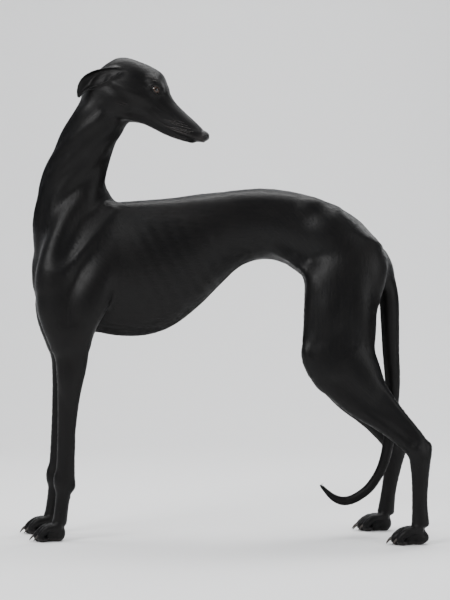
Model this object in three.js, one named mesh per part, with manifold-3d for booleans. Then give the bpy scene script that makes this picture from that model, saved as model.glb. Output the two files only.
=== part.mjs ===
// A greyhound, standing square on and looking back over its shoulder, at life size.
// Millimetres, +Z up. The dog faces -X and its left side is towards -Y. The origin is on the
// floor, under the middle of the whole figure.
import * as THREE from 'three';
import { LoftGeometry } from 'three/addons/geometries/LoftGeometry.js';
import { mergeVertices } from 'three/addons/utils/BufferGeometryUtils.js';
import Module from 'manifold-3d';

const wasm = await Module();
wasm.setup();

// General sizes
const GAP = 0.3; // clear space between two nodes that meet
const SIDE = new THREE.Vector3(0, -1, 0); // the side axis that every section is squared to
const CENTRE_SHIFT = new THREE.Vector3(10, 0, 0); // sets the figure's middle over the origin

// Torso, in upright sections from breast to rump
const TORSO = [
  // along, top, bottom, widest level, half width
  [-410, 594, 528, 562, 20],
  [-390, 640, 486, 555, 47],
  [-365, 672, 454, 552, 64],
  [-330, 700, 436, 556, 75],
  [-280, 712, 430, 565, 81],
  [-228, 714, 428, 575, 84],
  [-170, 718, 432, 585, 86],
  [-115, 723, 452, 598, 83],
  [-58, 731, 496, 622, 77],
  [-15, 735, 539, 645, 69],
  [28, 740, 577, 665, 61],
  [75, 743, 591, 672, 57],
  [120, 739, 583, 666, 59],
  [160, 731, 556, 650, 65],
  [200, 718, 522, 630, 73],
  [241, 699, 508, 612, 76],
  [283, 669, 512, 595, 71],
  [315, 636, 528, 583, 52],
  [332, 607, 550, 578, 30],
];
const CHEST_POWER = 2.05;
const BREAST = { at: [-345, 0, 497], radii: [63, 58, 74] };

// Neck, from inside the chest up to the back of the skull
const NECK = [
  // x, y, z, half depth, half width
  [-318, 0, 590, 92, 58],
  [-319, 0, 650, 92, 62],
  [-321, -3, 700, 83, 60],
  [-326, -8, 740, 71, 56],
  [-321, -16, 776, 65, 54],
  [-310, -26, 810, 58.5, 52],
  [-294, -37, 843, 54.5, 50],
  [-276, -46, 872, 52.5, 48],
  [-257, -52, 900, 51.5, 46],
  [-238, -56, 930, 49, 44],
];
const NECK_BASE_CUT = { at: [-322, 0, 680], towards: [-0.374, 0, 0.927] };
const NECK_TOP_CUT = { at: [-262, -50, 893], towards: [0.5, -0.17, 0.85] };

// Head, in its own frame: forward along the muzzle, side to the dog's right, and up
const HEAD_AT = [-242, -54, 943];
const HEAD_PITCH = THREE.MathUtils.degToRad(31);
const HEAD_YAW = THREE.MathUtils.degToRad(14);
const HEAD = [
  // forward, top, bottom, widest level, half width
  [-44, 26, -34, -4, 30],
  [-30, 56, -46, 6, 42],
  [-8, 77, -48, 12, 48],
  [22, 85, -45, 16, 50],
  [52, 86, -41, 22, 49],
  [78, 82, -29, 27, 44],
  [96, 73, -25, 26, 37],
  [112, 60, -23, 22, 31],
  [132, 49, -21.5, 16, 27],
  [160, 41.5, -18, 14, 24.5],
  [190, 35, -10.5, 13, 22],
  [212, 29.5, -2.5, 14, 19],
  [225, 25, 4, 15, 14.5],
];
const HEAD_POWER = 2.25;
const BROW = { at: [83, 23, 58], radii: [21, 13, 11] };
const EYE = { at: [90, 26, 50], radius: 11.6 };
const LID = { width: 12.6, height: 8.4, thick: 2.2, ahead: 2, points: 12 };
const CHEEK = { at: [30, 27, 4], radii: [46, 23.5, 34] };
const MOUTH = [
  // forward, side, up
  [88, 36, 0],
  [110, 29.5, -4],
  [140, 25.5, -4],
  [175, 22.5, 1],
  [205, 19, 7],
  [224, 12, 11],
  [231, 0, 12.5],
];
const LIP = { radius: 2.6, back: 1.5, above: 3.2, inward: 0.94 };
const MOUTH_LINE_RADIUS = 1.3;
const NOSE = { at: [221.5, 0, 18.5], radii: [12.5, 14, 10.5] };
const NOSE_BACK = { at: 214, towards: [1, 0, 0.35] };
const NOSTRIL = [
  // forward, side, up, radius
  [238, 4.5, 24, 2.6],
  [232, 7, 21.5, 2.6],
  [231, 12.5, 19.5, 1.6],
];

// Ears, folded back: a cupped blade from its root on the skull to its tip
const EAR_PATH = [
  // forward, side, up, half width, half depth, turn of the cup's mouth
  [18, 33, 50, 12, 9, 10],
  [2, 39, 44, 15.5, 10.5, 5],
  [-14, 44, 31, 17, 10.5, 0],
  [-29, 48, 12, 17.5, 9, 5],
  [-37, 51, -8, 15, 7.5, 10],
  [-41, 53, -26, 10.5, 5.5, 12],
  [-39, 54, -41, 4, 3, 15],
];
const EAR_CUP = 0.7; // how far the hollow is set towards the mouth, as a share of the half depth
const EAR_THICK = 2.6;
const EAR_HOLLOW = { afterRoot: 0.35, beforeTip: 0.45 }; // where the hollow starts and ends, in rows

// Tail, from the rump down between the hind legs to its upturned tip
const TAIL = [
  // x, y, z, radius
  [316, 0, 590, 25],
  [334, 0, 560, 22.5],
  [345, 0, 510, 21.3],
  [348, 1, 455, 19.8],
  [350, 3, 395, 18.2],
  [353.5, 5, 335, 16.6],
  [352, 7, 280, 14.8],
  [348, 8, 228, 13],
  [342, 8, 184, 11.8],
  [333, 8, 152, 11],
  [320, 8, 126, 10.4],
  [303, 8, 103, 10.2],
  [284, 8, 88, 10],
  [265, 7, 78.5, 9.8],
  [247, 6, 75.8, 9.3],
  [229, 5, 81.5, 7.7],
  [212, 4, 95, 5.2],
  [197, 3, 112, 2.4],
];
const TAIL_CUTS = [1.15, 5.5, 10.5]; // where it is parted, counted in the rows above

// Fore legs: joints in the upright plane, and the sections along each bone
const FORE_LEGS = {
  left: { side: -1, elbow: [-318, 412], wrist: [-340, 122], fetlock: [-350, 40], toe: -410 },
  right: { side: 1, elbow: [-340, 412], wrist: [-368, 122], fetlock: [-380, 40], toe: -446 },
};
const SHOULDER = [
  // x, z, out from the middle, half depth, half width, share of the elbow's place
  [-236, 690, 36, 20, 14, 0],
  [-256, 664, 52, 40, 24, 0],
  [-290, 610, 60, 58, 29, 0.1],
  [-332, 548, 62, 64, 30, 0.3],
  [-336, 494, 65, 62, 31, 0.8],
  [-330, 448, 66, 57, 28, 1],
  [-324, 410, 66, 44, 24, 1],
];
const FOREARM = [
  // share of the bone, back from it, out from the middle, half depth, half width
  [-0.12, -1, 66, 41, 25],
  [0.02, 0, 66, 38, 24],
  [0.16, 0, 65, 30, 21],
  [0.36, -4, 63, 24.5, 18],
  [0.6, -4, 61, 20.3, 15.5],
  [0.84, -2, 59, 18.8, 15.2],
  [1.0, 0, 58, 20, 17],
];
const FORE_PASTERN = [
  [0.2, 0, 58, 17.2, 15],
  [0.55, 0, 58, 15.2, 14.4],
  [1.0, 0, 58, 15.5, 16],
];
const FORE_CUTS = { forearm: 2.3, pastern: 6.6, paw: 8.4 }; // counted in rows of both tables above
const WRIST_PAD = { below: 17, back: 14.5, out: 58, radii: [7, 6.5, 9] };
const DEWCLAW = [
  // behind the wrist, out from the middle, below the wrist, radius
  [0, 48, 20, 5],
  [-3, 44, 30, 4.4],
  [-7, 45, 39, 1.2],
];

// Hind legs: joints in the upright plane, and the sections along each bone
const HIND_LEGS = {
  left: { side: -1, hip: [262, 590], knee: [205, 388], hock: [400, 192], fetlock: [399, 42], toe: 331 },
  right: { side: 1, hip: [264, 590], knee: [215, 388], hock: [371, 186], fetlock: [348, 42], toe: 277 },
};
const THIGH = [
  // share along the bone, back from the bone, out from the middle, half depth, half width
  [-0.2, 10, 46, 46, 26],
  [-0.05, 8.5, 52, 66, 34],
  [0.12, 6, 57, 76, 38],
  [0.32, 0, 60, 81.5, 38.5],
  [0.5, 3.5, 63, 77.5, 37.5],
  [0.72, 14, 67, 77, 34],
  [0.9, 20, 72, 76, 30],
  [1.03, 21, 76, 69, 27],
  [1.15, 27, 80, 50, 22],
];
const SHANK = [
  [-0.02, 20, 72, 58, 26],
  [0.1, 12, 76, 70, 27],
  [0.22, 10, 80, 67, 26],
  [0.42, 1, 86, 51, 23],
  [0.63, 3, 91, 36.5, 18.5],
  [0.82, 4, 95, 28.5, 15],
  [0.94, 2, 97, 24.5, 15],
];
const HIND_PASTERN = [
  [0.06, -1, 99, 24, 16],
  [0.2, 0, 100, 21.5, 14],
  [0.38, 0, 101, 18.6, 12.6],
  [0.7, -0.5, 102, 16.8, 12.8],
  [1.0, 1, 104, 19, 16],
];
const HIND_CUTS = { shank: 2.6, pastern: 6.6, paw: 10.6 }; // counted in rows of both tables above
const HEEL = { up: 5, back: 16.5, out: 98, radii: [9.5, 8, 17] };

// Paws: long arched toes, in their own frame forward from the fetlock, out and up
const PAW = {
  out: { fore: 58, hind: 104 },
  toeSpread: [-17.5, -6.4, 6.4, 17.5],
  toeReach: [0.8, 0.98, 1, 0.8],
  clawReach: 8.4,
  heelPad: { at: [3.5, 0, 20], radii: [16, 18, 23] },
  web: { at: [28, 0, 11.5], radii: [24, 19, 13.5] },
};
const TOE = [
  // share of the toe's reach, further forward, share of its spread, up, radius
  [0, -2, 0.45, 34, 10],
  [0.34, 0, 0.8, 28, 10],
  [0.68, 0, 1, 22, 10],
  [0.86, 0, 1.04, 10.5, 9.4],
  [1, -5, 1.05, 6, 8.4],
];
const CLAW = [
  [1, -4, 1.05, 13, 3.4],
  [1, 4.2, 1.07, 11, 2.7],
  [1, PAW.clawReach, 1.08, 4, 0.8],
];

const COAT = { color: 0x0d0c0c, roughness: 0.45, metalness: 0 };
const NOSE_LEATHER = { color: 0x070707, roughness: 0.35, metalness: 0 };
const EYE_DARK = { color: 0x1a0d06, roughness: 0.05, metalness: 0 };

const vec = (a) => new THREE.Vector3(...a);
const mix = (a, b, t) => a + (b - a) * t;

// A smooth curve through the rows of a table: t counts rows, and each column is a Catmull-Rom spline.
function rowAt(rows, t) {
  const last = rows.length - 1;
  const i = Math.min(Math.max(Math.floor(t), 0), last - 1);
  const f = t - i;
  const [p0, p1, p2, p3] = [i - 1, i, i + 1, i + 2].map((k) => rows[Math.min(Math.max(k, 0), last)]);
  return p1.map((b, c) => {
    const [a, d, e] = [p0[c], p2[c], p3[c]];
    return b + 0.5 * f * (d - a + f * (2 * a - 5 * b + 4 * d - e + f * (3 * (b - d) + e - a)));
  });
}

// One ring of a section: `up` and `down` reach along the upright axis, `half` along the side axis,
// and `power` squares the ellipse off.
function ring(centre, along, { up, down, half, power = 2, sides, sideways = SIDE }) {
  const side = sideways.clone().addScaledVector(along, -sideways.dot(along)).normalize();
  const upright = new THREE.Vector3().crossVectors(side, along);
  return Array.from({ length: sides }, (_, k) => {
    const angle = ((k + 0.5) / sides) * 2 * Math.PI;
    const [c, s] = [Math.cos(angle), Math.sin(angle)];
    const reach = (Math.abs(c) ** power + Math.abs(s) ** power) ** (-1 / power);
    return centre
      .clone()
      .addScaledVector(upright, c * reach * (c > 0 ? up : down))
      .addScaledVector(side, s * reach * half);
  });
}

// A closed body through rings, with round ends. `section(t)` gives a ring's centre, direction and sizes.
function loft(section, from, to, steps, { startRound = 0.6, endRound = 0.6, sides = 16, grow = 0 } = {}) {
  const rings = [];
  const add = (t, push, shrink) => {
    const s = section(t);
    const size = (r) => Math.max(r * shrink + grow, 0.2);
    const centre = s.centre.clone().addScaledVector(s.along, push + Math.sign(push) * grow);
    const sizes = { ...s, up: size(s.up), down: size(s.down), half: size(s.half), sides };
    rings.push(ring(centre, s.along, sizes));
  };
  const thin = (t) => {
    const s = section(t);
    return Math.min(s.half, (s.up + s.down) / 2);
  };
  for (const a of [72, 36]) {
    const r = THREE.MathUtils.degToRad(a);
    if (startRound > 0) add(from, -startRound * thin(from) * Math.sin(r), Math.cos(r));
  }
  for (let i = 0; i <= steps; i++) add(mix(from, to, i / steps), 0, 1);
  for (const a of [36, 72]) {
    const r = THREE.MathUtils.degToRad(a);
    if (endRound > 0) add(to, endRound * thin(to) * Math.sin(r), Math.cos(r));
  }
  return solid(new LoftGeometry(rings, { capStart: true, capEnd: true }));
}

// Sections for a round or oval body along a path of [x, y, z, half depth, half width] rows.
function alongPath(rows, power = 2) {
  return (t) => {
    const [x, y, z, depth, half = depth] = rowAt(rows, t);
    const [a, b] = [Math.max(t - 0.05, 0), Math.min(t + 0.05, rows.length - 1)];
    const along = vec(rowAt(rows, b).slice(0, 3)).sub(vec(rowAt(rows, a).slice(0, 3)));
    const centre = new THREE.Vector3(x, y, z);
    return { centre, along: along.normalize(), up: depth, down: depth, half, power };
  };
}

// Sections across one fixed direction, from rows of [along, top, bottom, widest level, half width].
function across(rows, power) {
  return (t) => {
    const [x, top, bottom, level, half] = rowAt(rows, t);
    const along = new THREE.Vector3(1, 0, 0);
    const centre = new THREE.Vector3(x, 0, level);
    return { centre, along, up: top - level, down: level - bottom, half, power };
  };
}

// A three.js geometry as a manifold-3d solid.
function solid(geometry, matrix = new THREE.Matrix4()) {
  const g = new THREE.BufferGeometry().copy(geometry).applyMatrix4(matrix);
  g.deleteAttribute('normal');
  g.deleteAttribute('uv');
  const merged = mergeVertices(g, 1e-4);
  const triVerts = new Uint32Array(merged.index.array);
  return new wasm.Manifold(
    new wasm.Mesh({ numProp: 3, vertProperties: merged.attributes.position.array, triVerts }),
  );
}

function ellipsoid(at, radii, turn = new THREE.Quaternion(), detail = 12) {
  const m = new THREE.Matrix4().compose(vec(at), turn, vec(radii));
  return solid(new THREE.SphereGeometry(1, detail, Math.round(detail * 0.7)), m);
}

const tube = (rows, steps, options) => loft(alongPath(rows), 0, rows.length - 1, steps, options);
const join = (pieces) => pieces.reduce((a, b) => a.add(b));

// Keeps what lies past a plane, in the direction it points, less half the gap between nodes.
function keepPast(body, { at, towards }) {
  const n = vec(towards).normalize();
  return body.trimByPlane(n.toArray(), n.dot(vec(at)) + GAP / 2);
}
function keepBefore(body, { at, towards }) {
  return keepPast(body, { at, towards: vec(towards).negate().toArray() });
}

// The plane across a path at t.
function planeAcross(section, t) {
  const s = section(t);
  return { at: s.centre.toArray(), towards: s.along.toArray() };
}

const onFloor = (body) => body.trimByPlane([0, 0, 1], 0);

// The largest closed body of what a union or cut leaves.
function largest(body) {
  const parts = body.decompose();
  return parts.reduce((a, b) => (b.volume() > a.volume() ? b : a));
}

const group = new THREE.Group();
const finish = {
  coat: new THREE.MeshStandardMaterial(COAT),
  nose: new THREE.MeshStandardMaterial(NOSE_LEATHER),
  eye: new THREE.MeshStandardMaterial(EYE_DARK),
};

function node(name, body, material = finish.coat) {
  const mesh = largest(body).getMesh();
  const g = new THREE.BufferGeometry();
  const points = new Float32Array(mesh.numVert * 3);
  for (let i = 0; i < mesh.numVert; i++) {
    points.set(mesh.vertProperties.subarray(i * mesh.numProp, i * mesh.numProp + 3), i * 3);
  }
  g.setAttribute('position', new THREE.BufferAttribute(points, 3));
  g.setIndex(new THREE.BufferAttribute(mesh.triVerts, 1));
  const made = new THREE.Mesh(g, material);
  made.name = name;
  made.position.copy(CENTRE_SHIFT);
  group.add(made);
}

// Rows of a leg's bone, [share, back, out, half depth, half width], as rows in space.
function legRows(rows, [x0, z0], [x1, z1], side) {
  const length = Math.hypot(x1 - x0, z1 - z0);
  const back = [-(z1 - z0) / length, (x1 - x0) / length];
  return rows.map(([share, off, out, depth, half]) => [
    mix(x0, x1, share) + back[0] * off,
    side * out,
    mix(z0, z1, share) + back[1] * off,
    depth,
    half,
  ]);
}

// A paw below the fetlock: four toes with claws, their pads and the heel pad, flat on the floor.
function paw({ side, fetlock, toe }, out, ankle) {
  const reach = fetlock[0] - toe - PAW.clawReach;
  const place = (g, l, z) => [fetlock[0] - g, side * (out + l), z];
  const pieces = [
    ankle,
    ellipsoid(place(...PAW.heelPad.at), PAW.heelPad.radii, undefined, 8),
    ellipsoid(place(...PAW.web.at), PAW.web.radii, undefined, 8),
  ];
  PAW.toeSpread.forEach((spread, k) => {
    const far = reach * PAW.toeReach[k];
    const rows = (table) =>
      table.map(([share, more, out, up, r]) => [...place(far * share + more, spread * out, up), r]);
    pieces.push(tube(rows(TOE), 4, { sides: 6, startRound: 0 }));
    pieces.push(tube(rows(CLAW), 2, { sides: 5, startRound: 0, endRound: 0 }));
  });
  return onFloor(join(pieces));
}

// Torso, shoulders and neck
const torsoSection = across(TORSO, CHEST_POWER);
const neckSection = alongPath(NECK);
const torsoBody = loft(torsoSection, 0, TORSO.length - 1, 24, { sides: 16, startRound: 0.3, endRound: 0.3 });
const neckBody = loft(neckSection, 0, NECK.length - 1, 16, { sides: 16 });
const trunk = join([torsoBody, neckBody, ellipsoid(BREAST.at, BREAST.radii, undefined, 16)]);

// Tail, in three lengths
const tailSection = alongPath(TAIL);
const tailPocket = loft(tailSection, 0, TAIL.length - 1, 30, { sides: 10, grow: GAP });
const tailPlanes = TAIL_CUTS.map((t) => planeAcross(tailSection, t));
const tailStub = keepBefore(loft(tailSection, 0, 3, 8, { sides: 10 }), tailPlanes[0]);
const tailLength = (from, to, t0, t1) => {
  const body = loft(tailSection, t0, t1, Math.round((t1 - t0) * 2.4), { sides: 10 });
  return to ? keepBefore(keepPast(body, from), to) : keepPast(body, from);
};

// Fore legs
const foreNodes = {};
for (const [name, leg] of Object.entries(FORE_LEGS)) {
  const ahead = leg.elbow[0] - FORE_LEGS.left.elbow[0];
  const shoulderRows = SHOULDER.map(([x, z, out, depth, half, share]) => [
    x + ahead * share,
    leg.side * out,
    z,
    depth,
    half,
  ]);
  const armRows = [
    ...legRows(FOREARM, leg.elbow, leg.wrist, leg.side),
    ...legRows(FORE_PASTERN, leg.wrist, leg.fetlock, leg.side),
  ];
  const armSection = alongPath(armRows);
  const last = armRows.length - 1;
  const shoulder = (grow) => tube(shoulderRows, 12, { sides: 12, grow });
  const arm = (grow) => loft(armSection, 0, last, 20, { sides: 10, grow });
  const cutForearm = planeAcross(armSection, FORE_CUTS.forearm);
  const cutPastern = planeAcross(armSection, FORE_CUTS.pastern);
  const cutPaw = planeAcross(armSection, FORE_CUTS.paw);
  const [wristX, wristZ] = leg.wrist;
  const pad = [wristX + WRIST_PAD.back, leg.side * WRIST_PAD.out, wristZ - WRIST_PAD.below];
  const dewclaw = DEWCLAW.map(([back, out, below, r]) => [wristX + back, leg.side * out, wristZ - below, r]);
  const padBody = ellipsoid(pad, WRIST_PAD.radii, undefined, 8);
  const pastern = join([arm(0), padBody, tube(dewclaw, 4, { sides: 7 })]);
  foreNodes[name] = {
    pocket: join([shoulder(GAP), arm(GAP)]),
    upper: keepBefore(join([shoulder(0), arm(0)]), cutForearm),
    forearm: keepBefore(keepPast(arm(0), cutForearm), cutPastern),
    pastern: keepBefore(keepPast(pastern, cutPastern), cutPaw),
    paw: paw(leg, PAW.out.fore, keepPast(arm(0), cutPaw)),
  };
}

// Hind legs
const hindNodes = {};
for (const [name, leg] of Object.entries(HIND_LEGS)) {
  const thighSection = alongPath(legRows(THIGH, leg.hip, leg.knee, leg.side));
  const section = alongPath([
    ...legRows(SHANK, leg.knee, leg.hock, leg.side),
    ...legRows(HIND_PASTERN, leg.hock, leg.fetlock, leg.side),
  ]);
  const last = SHANK.length + HIND_PASTERN.length - 1;
  const thigh = (grow) => loft(thighSection, 0, THIGH.length - 1, 11, { sides: 12, grow });
  const lower = (grow) => loft(section, 0, last, 20, { sides: 12, grow });
  const cutShank = planeAcross(section, HIND_CUTS.shank);
  const cutPastern = planeAcross(section, HIND_CUTS.pastern);
  const cutPaw = planeAcross(section, HIND_CUTS.paw);
  const heel = [leg.hock[0] + HEEL.back, leg.side * HEEL.out, leg.hock[1] + HEEL.up];
  const pastern = join([lower(0), ellipsoid(heel, HEEL.radii, undefined, 8)]);
  hindNodes[name] = {
    pocket: join([thigh(GAP), lower(GAP)]),
    thigh: keepBefore(join([thigh(0), lower(0)]), cutShank),
    shank: keepBefore(keepPast(lower(0), cutShank), cutPastern),
    pastern: keepBefore(keepPast(pastern, cutPastern), cutPaw),
    paw: paw(leg, PAW.out.hind, keepPast(lower(0), cutPaw)),
  };
}

let torsoNode = keepBefore(trunk, NECK_BASE_CUT).add(tailStub);
for (const leg of [...Object.values(foreNodes), ...Object.values(hindNodes)]) {
  torsoNode = torsoNode.subtract(leg.pocket).subtract(leg.upper ?? leg.thigh);
}
torsoNode = torsoNode.subtract(keepPast(tailPocket, tailPlanes[0]));
node('torso', torsoNode);

let neckNode = keepBefore(keepPast(trunk, NECK_BASE_CUT), NECK_TOP_CUT);
for (const leg of Object.values(foreNodes)) neckNode = neckNode.subtract(leg.pocket);
node('neck', neckNode);

tailPlanes.forEach((plane, i) => {
  const next = tailPlanes[i + 1];
  const [t0, t1] = [Math.floor(TAIL_CUTS[i]), next ? Math.ceil(TAIL_CUTS[i + 1]) : TAIL.length - 1];
  node(['tail_root', 'tail_middle', 'tail_tip'][i], tailLength(plane, next, t0, t1));
});

for (const [name, leg] of Object.entries(foreNodes)) {
  node(`foreleg_${name}_upper`, leg.upper);
  node(`foreleg_${name}_forearm`, leg.forearm);
  node(`foreleg_${name}_pastern`, leg.pastern);
  node(`foreleg_${name}_paw`, leg.paw);
}
for (const [name, leg] of Object.entries(hindNodes)) {
  node(`hindleg_${name}_thigh`, leg.thigh.subtract(keepPast(tailPocket, tailPlanes[0])).subtract(tailStub));
  node(`hindleg_${name}_shank`, leg.shank);
  node(`hindleg_${name}_pastern`, leg.pastern);
  node(`hindleg_${name}_paw`, leg.paw);
}

// Head: everything is made in its own frame, then set on the neck
const headTurn = new THREE.Matrix4()
  .makeTranslation(...HEAD_AT)
  .multiply(new THREE.Matrix4().makeRotationZ(-HEAD_YAW))
  .multiply(new THREE.Matrix4().makeRotationY(HEAD_PITCH));
const toHead = (body) => body.transform(headTurn.toArray());
const bySide = (make) => [-1, 1].map(make);
const sideOf = ([f, s, u], sign) => [f, s * sign, u];

const skull = loft(across(HEAD, HEAD_POWER), 0, HEAD.length - 1, 20, {
  sides: 16,
  startRound: 0.5,
  endRound: 0.35,
});
function eyeball(sign, grow = 0) {
  return ellipsoid(sideOf(EYE.at, sign), Array(3).fill(EYE.radius + grow), undefined, 12);
}

// The rim of the eye's opening: an almond ring on the eyeball's front.
function lids(sign) {
  const rows = Array.from({ length: LID.points + 1 }, (_, k) => {
    const a = (k / LID.points) * 2 * Math.PI;
    const [f, u] = [Math.cos(a) * LID.width, Math.sin(a) * LID.height * (1 - 0.25 * Math.abs(Math.cos(a)))];
    const out = Math.sqrt(Math.max(EYE.radius ** 2 - 0.8 * (f * f + u * u), 9));
    return [EYE.at[0] + f + LID.ahead, sign * (EYE.at[1] + out * 0.98), EYE.at[2] + u, LID.thick];
  });
  const middle = LID.points / 2;
  const half = { sides: 5, startRound: 0, endRound: 0 };
  return join([
    tube(rows.slice(0, middle + 1), middle, half),
    tube([...rows.slice(middle), rows[1]], middle + 1, half),
  ]);
}

const lipLine = [...MOUTH.map((p) => sideOf(p, -1)), ...MOUTH.slice(0, -1).reverse()];
const lipRows = lipLine.map(([f, s, u]) => [f - LIP.back, s * LIP.inward, u + LIP.above, LIP.radius]);
const lip = tube(lipRows, 14, { sides: 5 });
const mouthLine = tube(lipLine.map((p) => [...p, MOUTH_LINE_RADIUS]), 14, { sides: 5 });
const noseBall = (grow) => {
  const ball = ellipsoid(NOSE.at, NOSE.radii.map((r) => r + grow), undefined, 12);
  return ball.trimByPlane(NOSE_BACK.towards, NOSE_BACK.at - grow);
};
const nostrils = bySide((sign) => {
  const rows = NOSTRIL.map(([f, s, u, r]) => [...sideOf([f, s, u], sign), r]);
  return tube(rows, 5, { sides: 7 });
});

let head = join([
  skull,
  lip,
  ...bySide((sign) => ellipsoid(sideOf(BROW.at, sign), BROW.radii, undefined, 8)),
  ...bySide((sign) => ellipsoid(sideOf(CHEEK.at, sign), CHEEK.radii, undefined, 10)),
  ...bySide(lids),
]);
head = bySide((sign) => eyeball(sign, GAP)).reduce((a, b) => a.subtract(b), head.subtract(mouthLine));
head = head.subtract(noseBall(GAP));

// An ear: a blade of oval sections, hollowed by a thinner blade set towards the cup's mouth.
function ear(sign) {
  const blade = (t) => {
    const [f, s, u, half, depth, turn] = rowAt(EAR_PATH, t);
    const last = EAR_PATH.length - 1;
    const ahead = vec(rowAt(EAR_PATH, Math.min(t + 0.05, last)).slice(0, 3));
    const along = ahead.sub(vec(rowAt(EAR_PATH, Math.max(t - 0.05, 0)).slice(0, 3))).normalize();
    const mouth = new THREE.Vector3(0, 1, 0).addScaledVector(along, -along.y).normalize();
    mouth.applyAxisAngle(along, THREE.MathUtils.degToRad(turn));
    const sideways = new THREE.Vector3().crossVectors(along, mouth);
    const flip = (v) => v.multiply(new THREE.Vector3(1, sign, 1));
    return { centre: vec([f, s, u]), along, mouth, sideways, half, depth, flip };
  };
  const section = (push, thin) => (t) => {
    const { centre, along, mouth, sideways, half, depth, flip } = blade(t);
    centre.addScaledVector(mouth, depth * push);
    const made = { centre: flip(centre), along: flip(along), sideways: flip(sideways) };
    return { ...made, up: depth - thin, down: depth - thin, half: half - thin };
  };
  const last = EAR_PATH.length - 1;
  const outer = loft(section(0, 0), 0, last, 10, { sides: 12 });
  const { afterRoot, beforeTip } = EAR_HOLLOW;
  const hollow = loft(section(EAR_CUP, EAR_THICK), afterRoot, last - beforeTip, 8, { sides: 9 });
  return outer.subtract(hollow);
}

const ears = bySide(ear);
const headNode = keepPast(join([toHead(head), neckBody]), NECK_TOP_CUT);
node('head', headNode);
node('nose', toHead(noseBall(0).subtract(join(nostrils))), finish.nose);
bySide((sign) => node(`eye_${sign > 0 ? 'right' : 'left'}`, toHead(eyeball(sign)), finish.eye));
ears.forEach((body, i) => {
  node(`ear_${i ? 'right' : 'left'}`, toHead(body).subtract(headNode).subtract(neckNode));
});

export default group;
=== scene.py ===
# A life-size greyhound, standing and looking back over its shoulder, with a short black coat.
# Shapes are worked out in millimetres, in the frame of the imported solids, and put into meshes in metres.
# The dog faces -X, its left side is towards -Y, and its head looks back towards +X.
from collections import namedtuple
from concurrent.futures import ThreadPoolExecutor
from functools import partial

import bpy
import numpy as np
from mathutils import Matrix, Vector


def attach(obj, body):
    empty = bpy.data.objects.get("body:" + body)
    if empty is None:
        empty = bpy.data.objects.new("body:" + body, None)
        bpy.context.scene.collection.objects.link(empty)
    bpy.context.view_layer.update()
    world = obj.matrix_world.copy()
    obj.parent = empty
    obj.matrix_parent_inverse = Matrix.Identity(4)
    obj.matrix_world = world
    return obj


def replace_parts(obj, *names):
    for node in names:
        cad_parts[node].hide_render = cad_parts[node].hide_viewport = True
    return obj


bl_info = {
    "name": "Greyhound",
    "version": (1, 0, 0),
    "blender": (4, 5, 0),
    "location": "View3D > Sidebar > Greyhound",
    "description": "Builds the skin, coat, eyes, nose, claws and whiskers of a standing greyhound",
    "category": "Add Mesh",
}

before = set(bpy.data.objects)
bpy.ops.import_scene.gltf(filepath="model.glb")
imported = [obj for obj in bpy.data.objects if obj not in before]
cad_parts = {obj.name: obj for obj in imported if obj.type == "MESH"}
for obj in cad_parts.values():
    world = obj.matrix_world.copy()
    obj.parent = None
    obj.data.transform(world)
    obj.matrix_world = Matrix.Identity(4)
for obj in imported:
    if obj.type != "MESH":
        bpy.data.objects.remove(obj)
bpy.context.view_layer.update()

# Places shared by several pieces
CENTRE_SHIFT = np.array([10.0, 0.0, 0.0])  # from the drawing's frame to the frame on the floor
SIDES = {"left": -1, "right": 1}
HEAD_AT = np.array([-242.0, -54.0, 943.0])
HEAD_PITCH = np.radians(31)
HEAD_YAW = np.radians(14)
SKIN_INSET = 0.8  # how far the skin lies inside the outline of the coat
LIMB_CAP = 0.6  # how far a limb's end bulges, as a share of its half width
NEAREST_PAIRS = 4000 * 96 * 64  # how many distances are worked out at once
LIE_ROUNDS = 14  # how often the lie of the coat is averaged over the skin

# Torso: along, top, bottom, widest level, half width
TORSO = [
    [-410, 594, 528, 562, 20],
    [-390, 640, 486, 555, 47],
    [-365, 672, 454, 552, 62],
    [-330, 700, 441, 556, 72],
    [-280, 712, 437, 565, 79],
    [-228, 714, 429, 575, 83],
    [-170, 718, 431, 585, 86],
    [-115, 723, 450.5, 598, 83],
    [-58, 731, 494, 622, 77],
    [-15, 735, 537, 645, 69],
    [28, 740, 576, 665, 61],
    [75, 743, 591, 672, 57],
    [120, 739, 583, 666, 59],
    [160, 731, 556, 650, 65],
    [200, 718, 522, 630, 71],
    [241, 701, 508, 612, 72],
    [283, 673, 512, 595, 66],
    [315, 636, 528, 583, 50],
    [332, 607, 550, 578, 30],
]
# Neck: x, y, z, half depth, half width
NECK = [
    [-318, 0, 590, 90, 55],
    [-321, 0, 650, 93, 58],
    [-323, -3, 700, 84.5, 55],
    [-325.5, -8, 740, 70.5, 51],
    [-318.5, -16, 776, 61.5, 48.5],
    [-307, -26, 810, 54, 46.5],
    [-292, -37, 843, 51, 44.5],
    [-274, -46, 872, 49.5, 43.5],
    [-256, -52, 900, 49, 43],
    [-238, -56, 930, 46, 42],
]
# Head, in its own frame: forward, top, bottom, widest level, half width
HEAD = [
    [-44, 24, -34, -4, 24],
    [-30, 50, -46, 6, 40],
    [-8, 72, -48, 12, 47],
    [22, 83, -45, 16, 48.5],
    [52, 87, -40, 20, 46],
    [78, 85.5, -28, 24, 40],
    [96, 74, -24.5, 22, 33.5],
    [112, 60, -23, 17, 28],
    [132, 49, -21.5, 12, 25],
    [160, 41.5, -18, 10, 23],
    [190, 35.5, -9.5, 10, 21],
    [212, 30, -1.5, 12, 18],
    [225, 25.5, 4.5, 14, 14],
]
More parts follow.
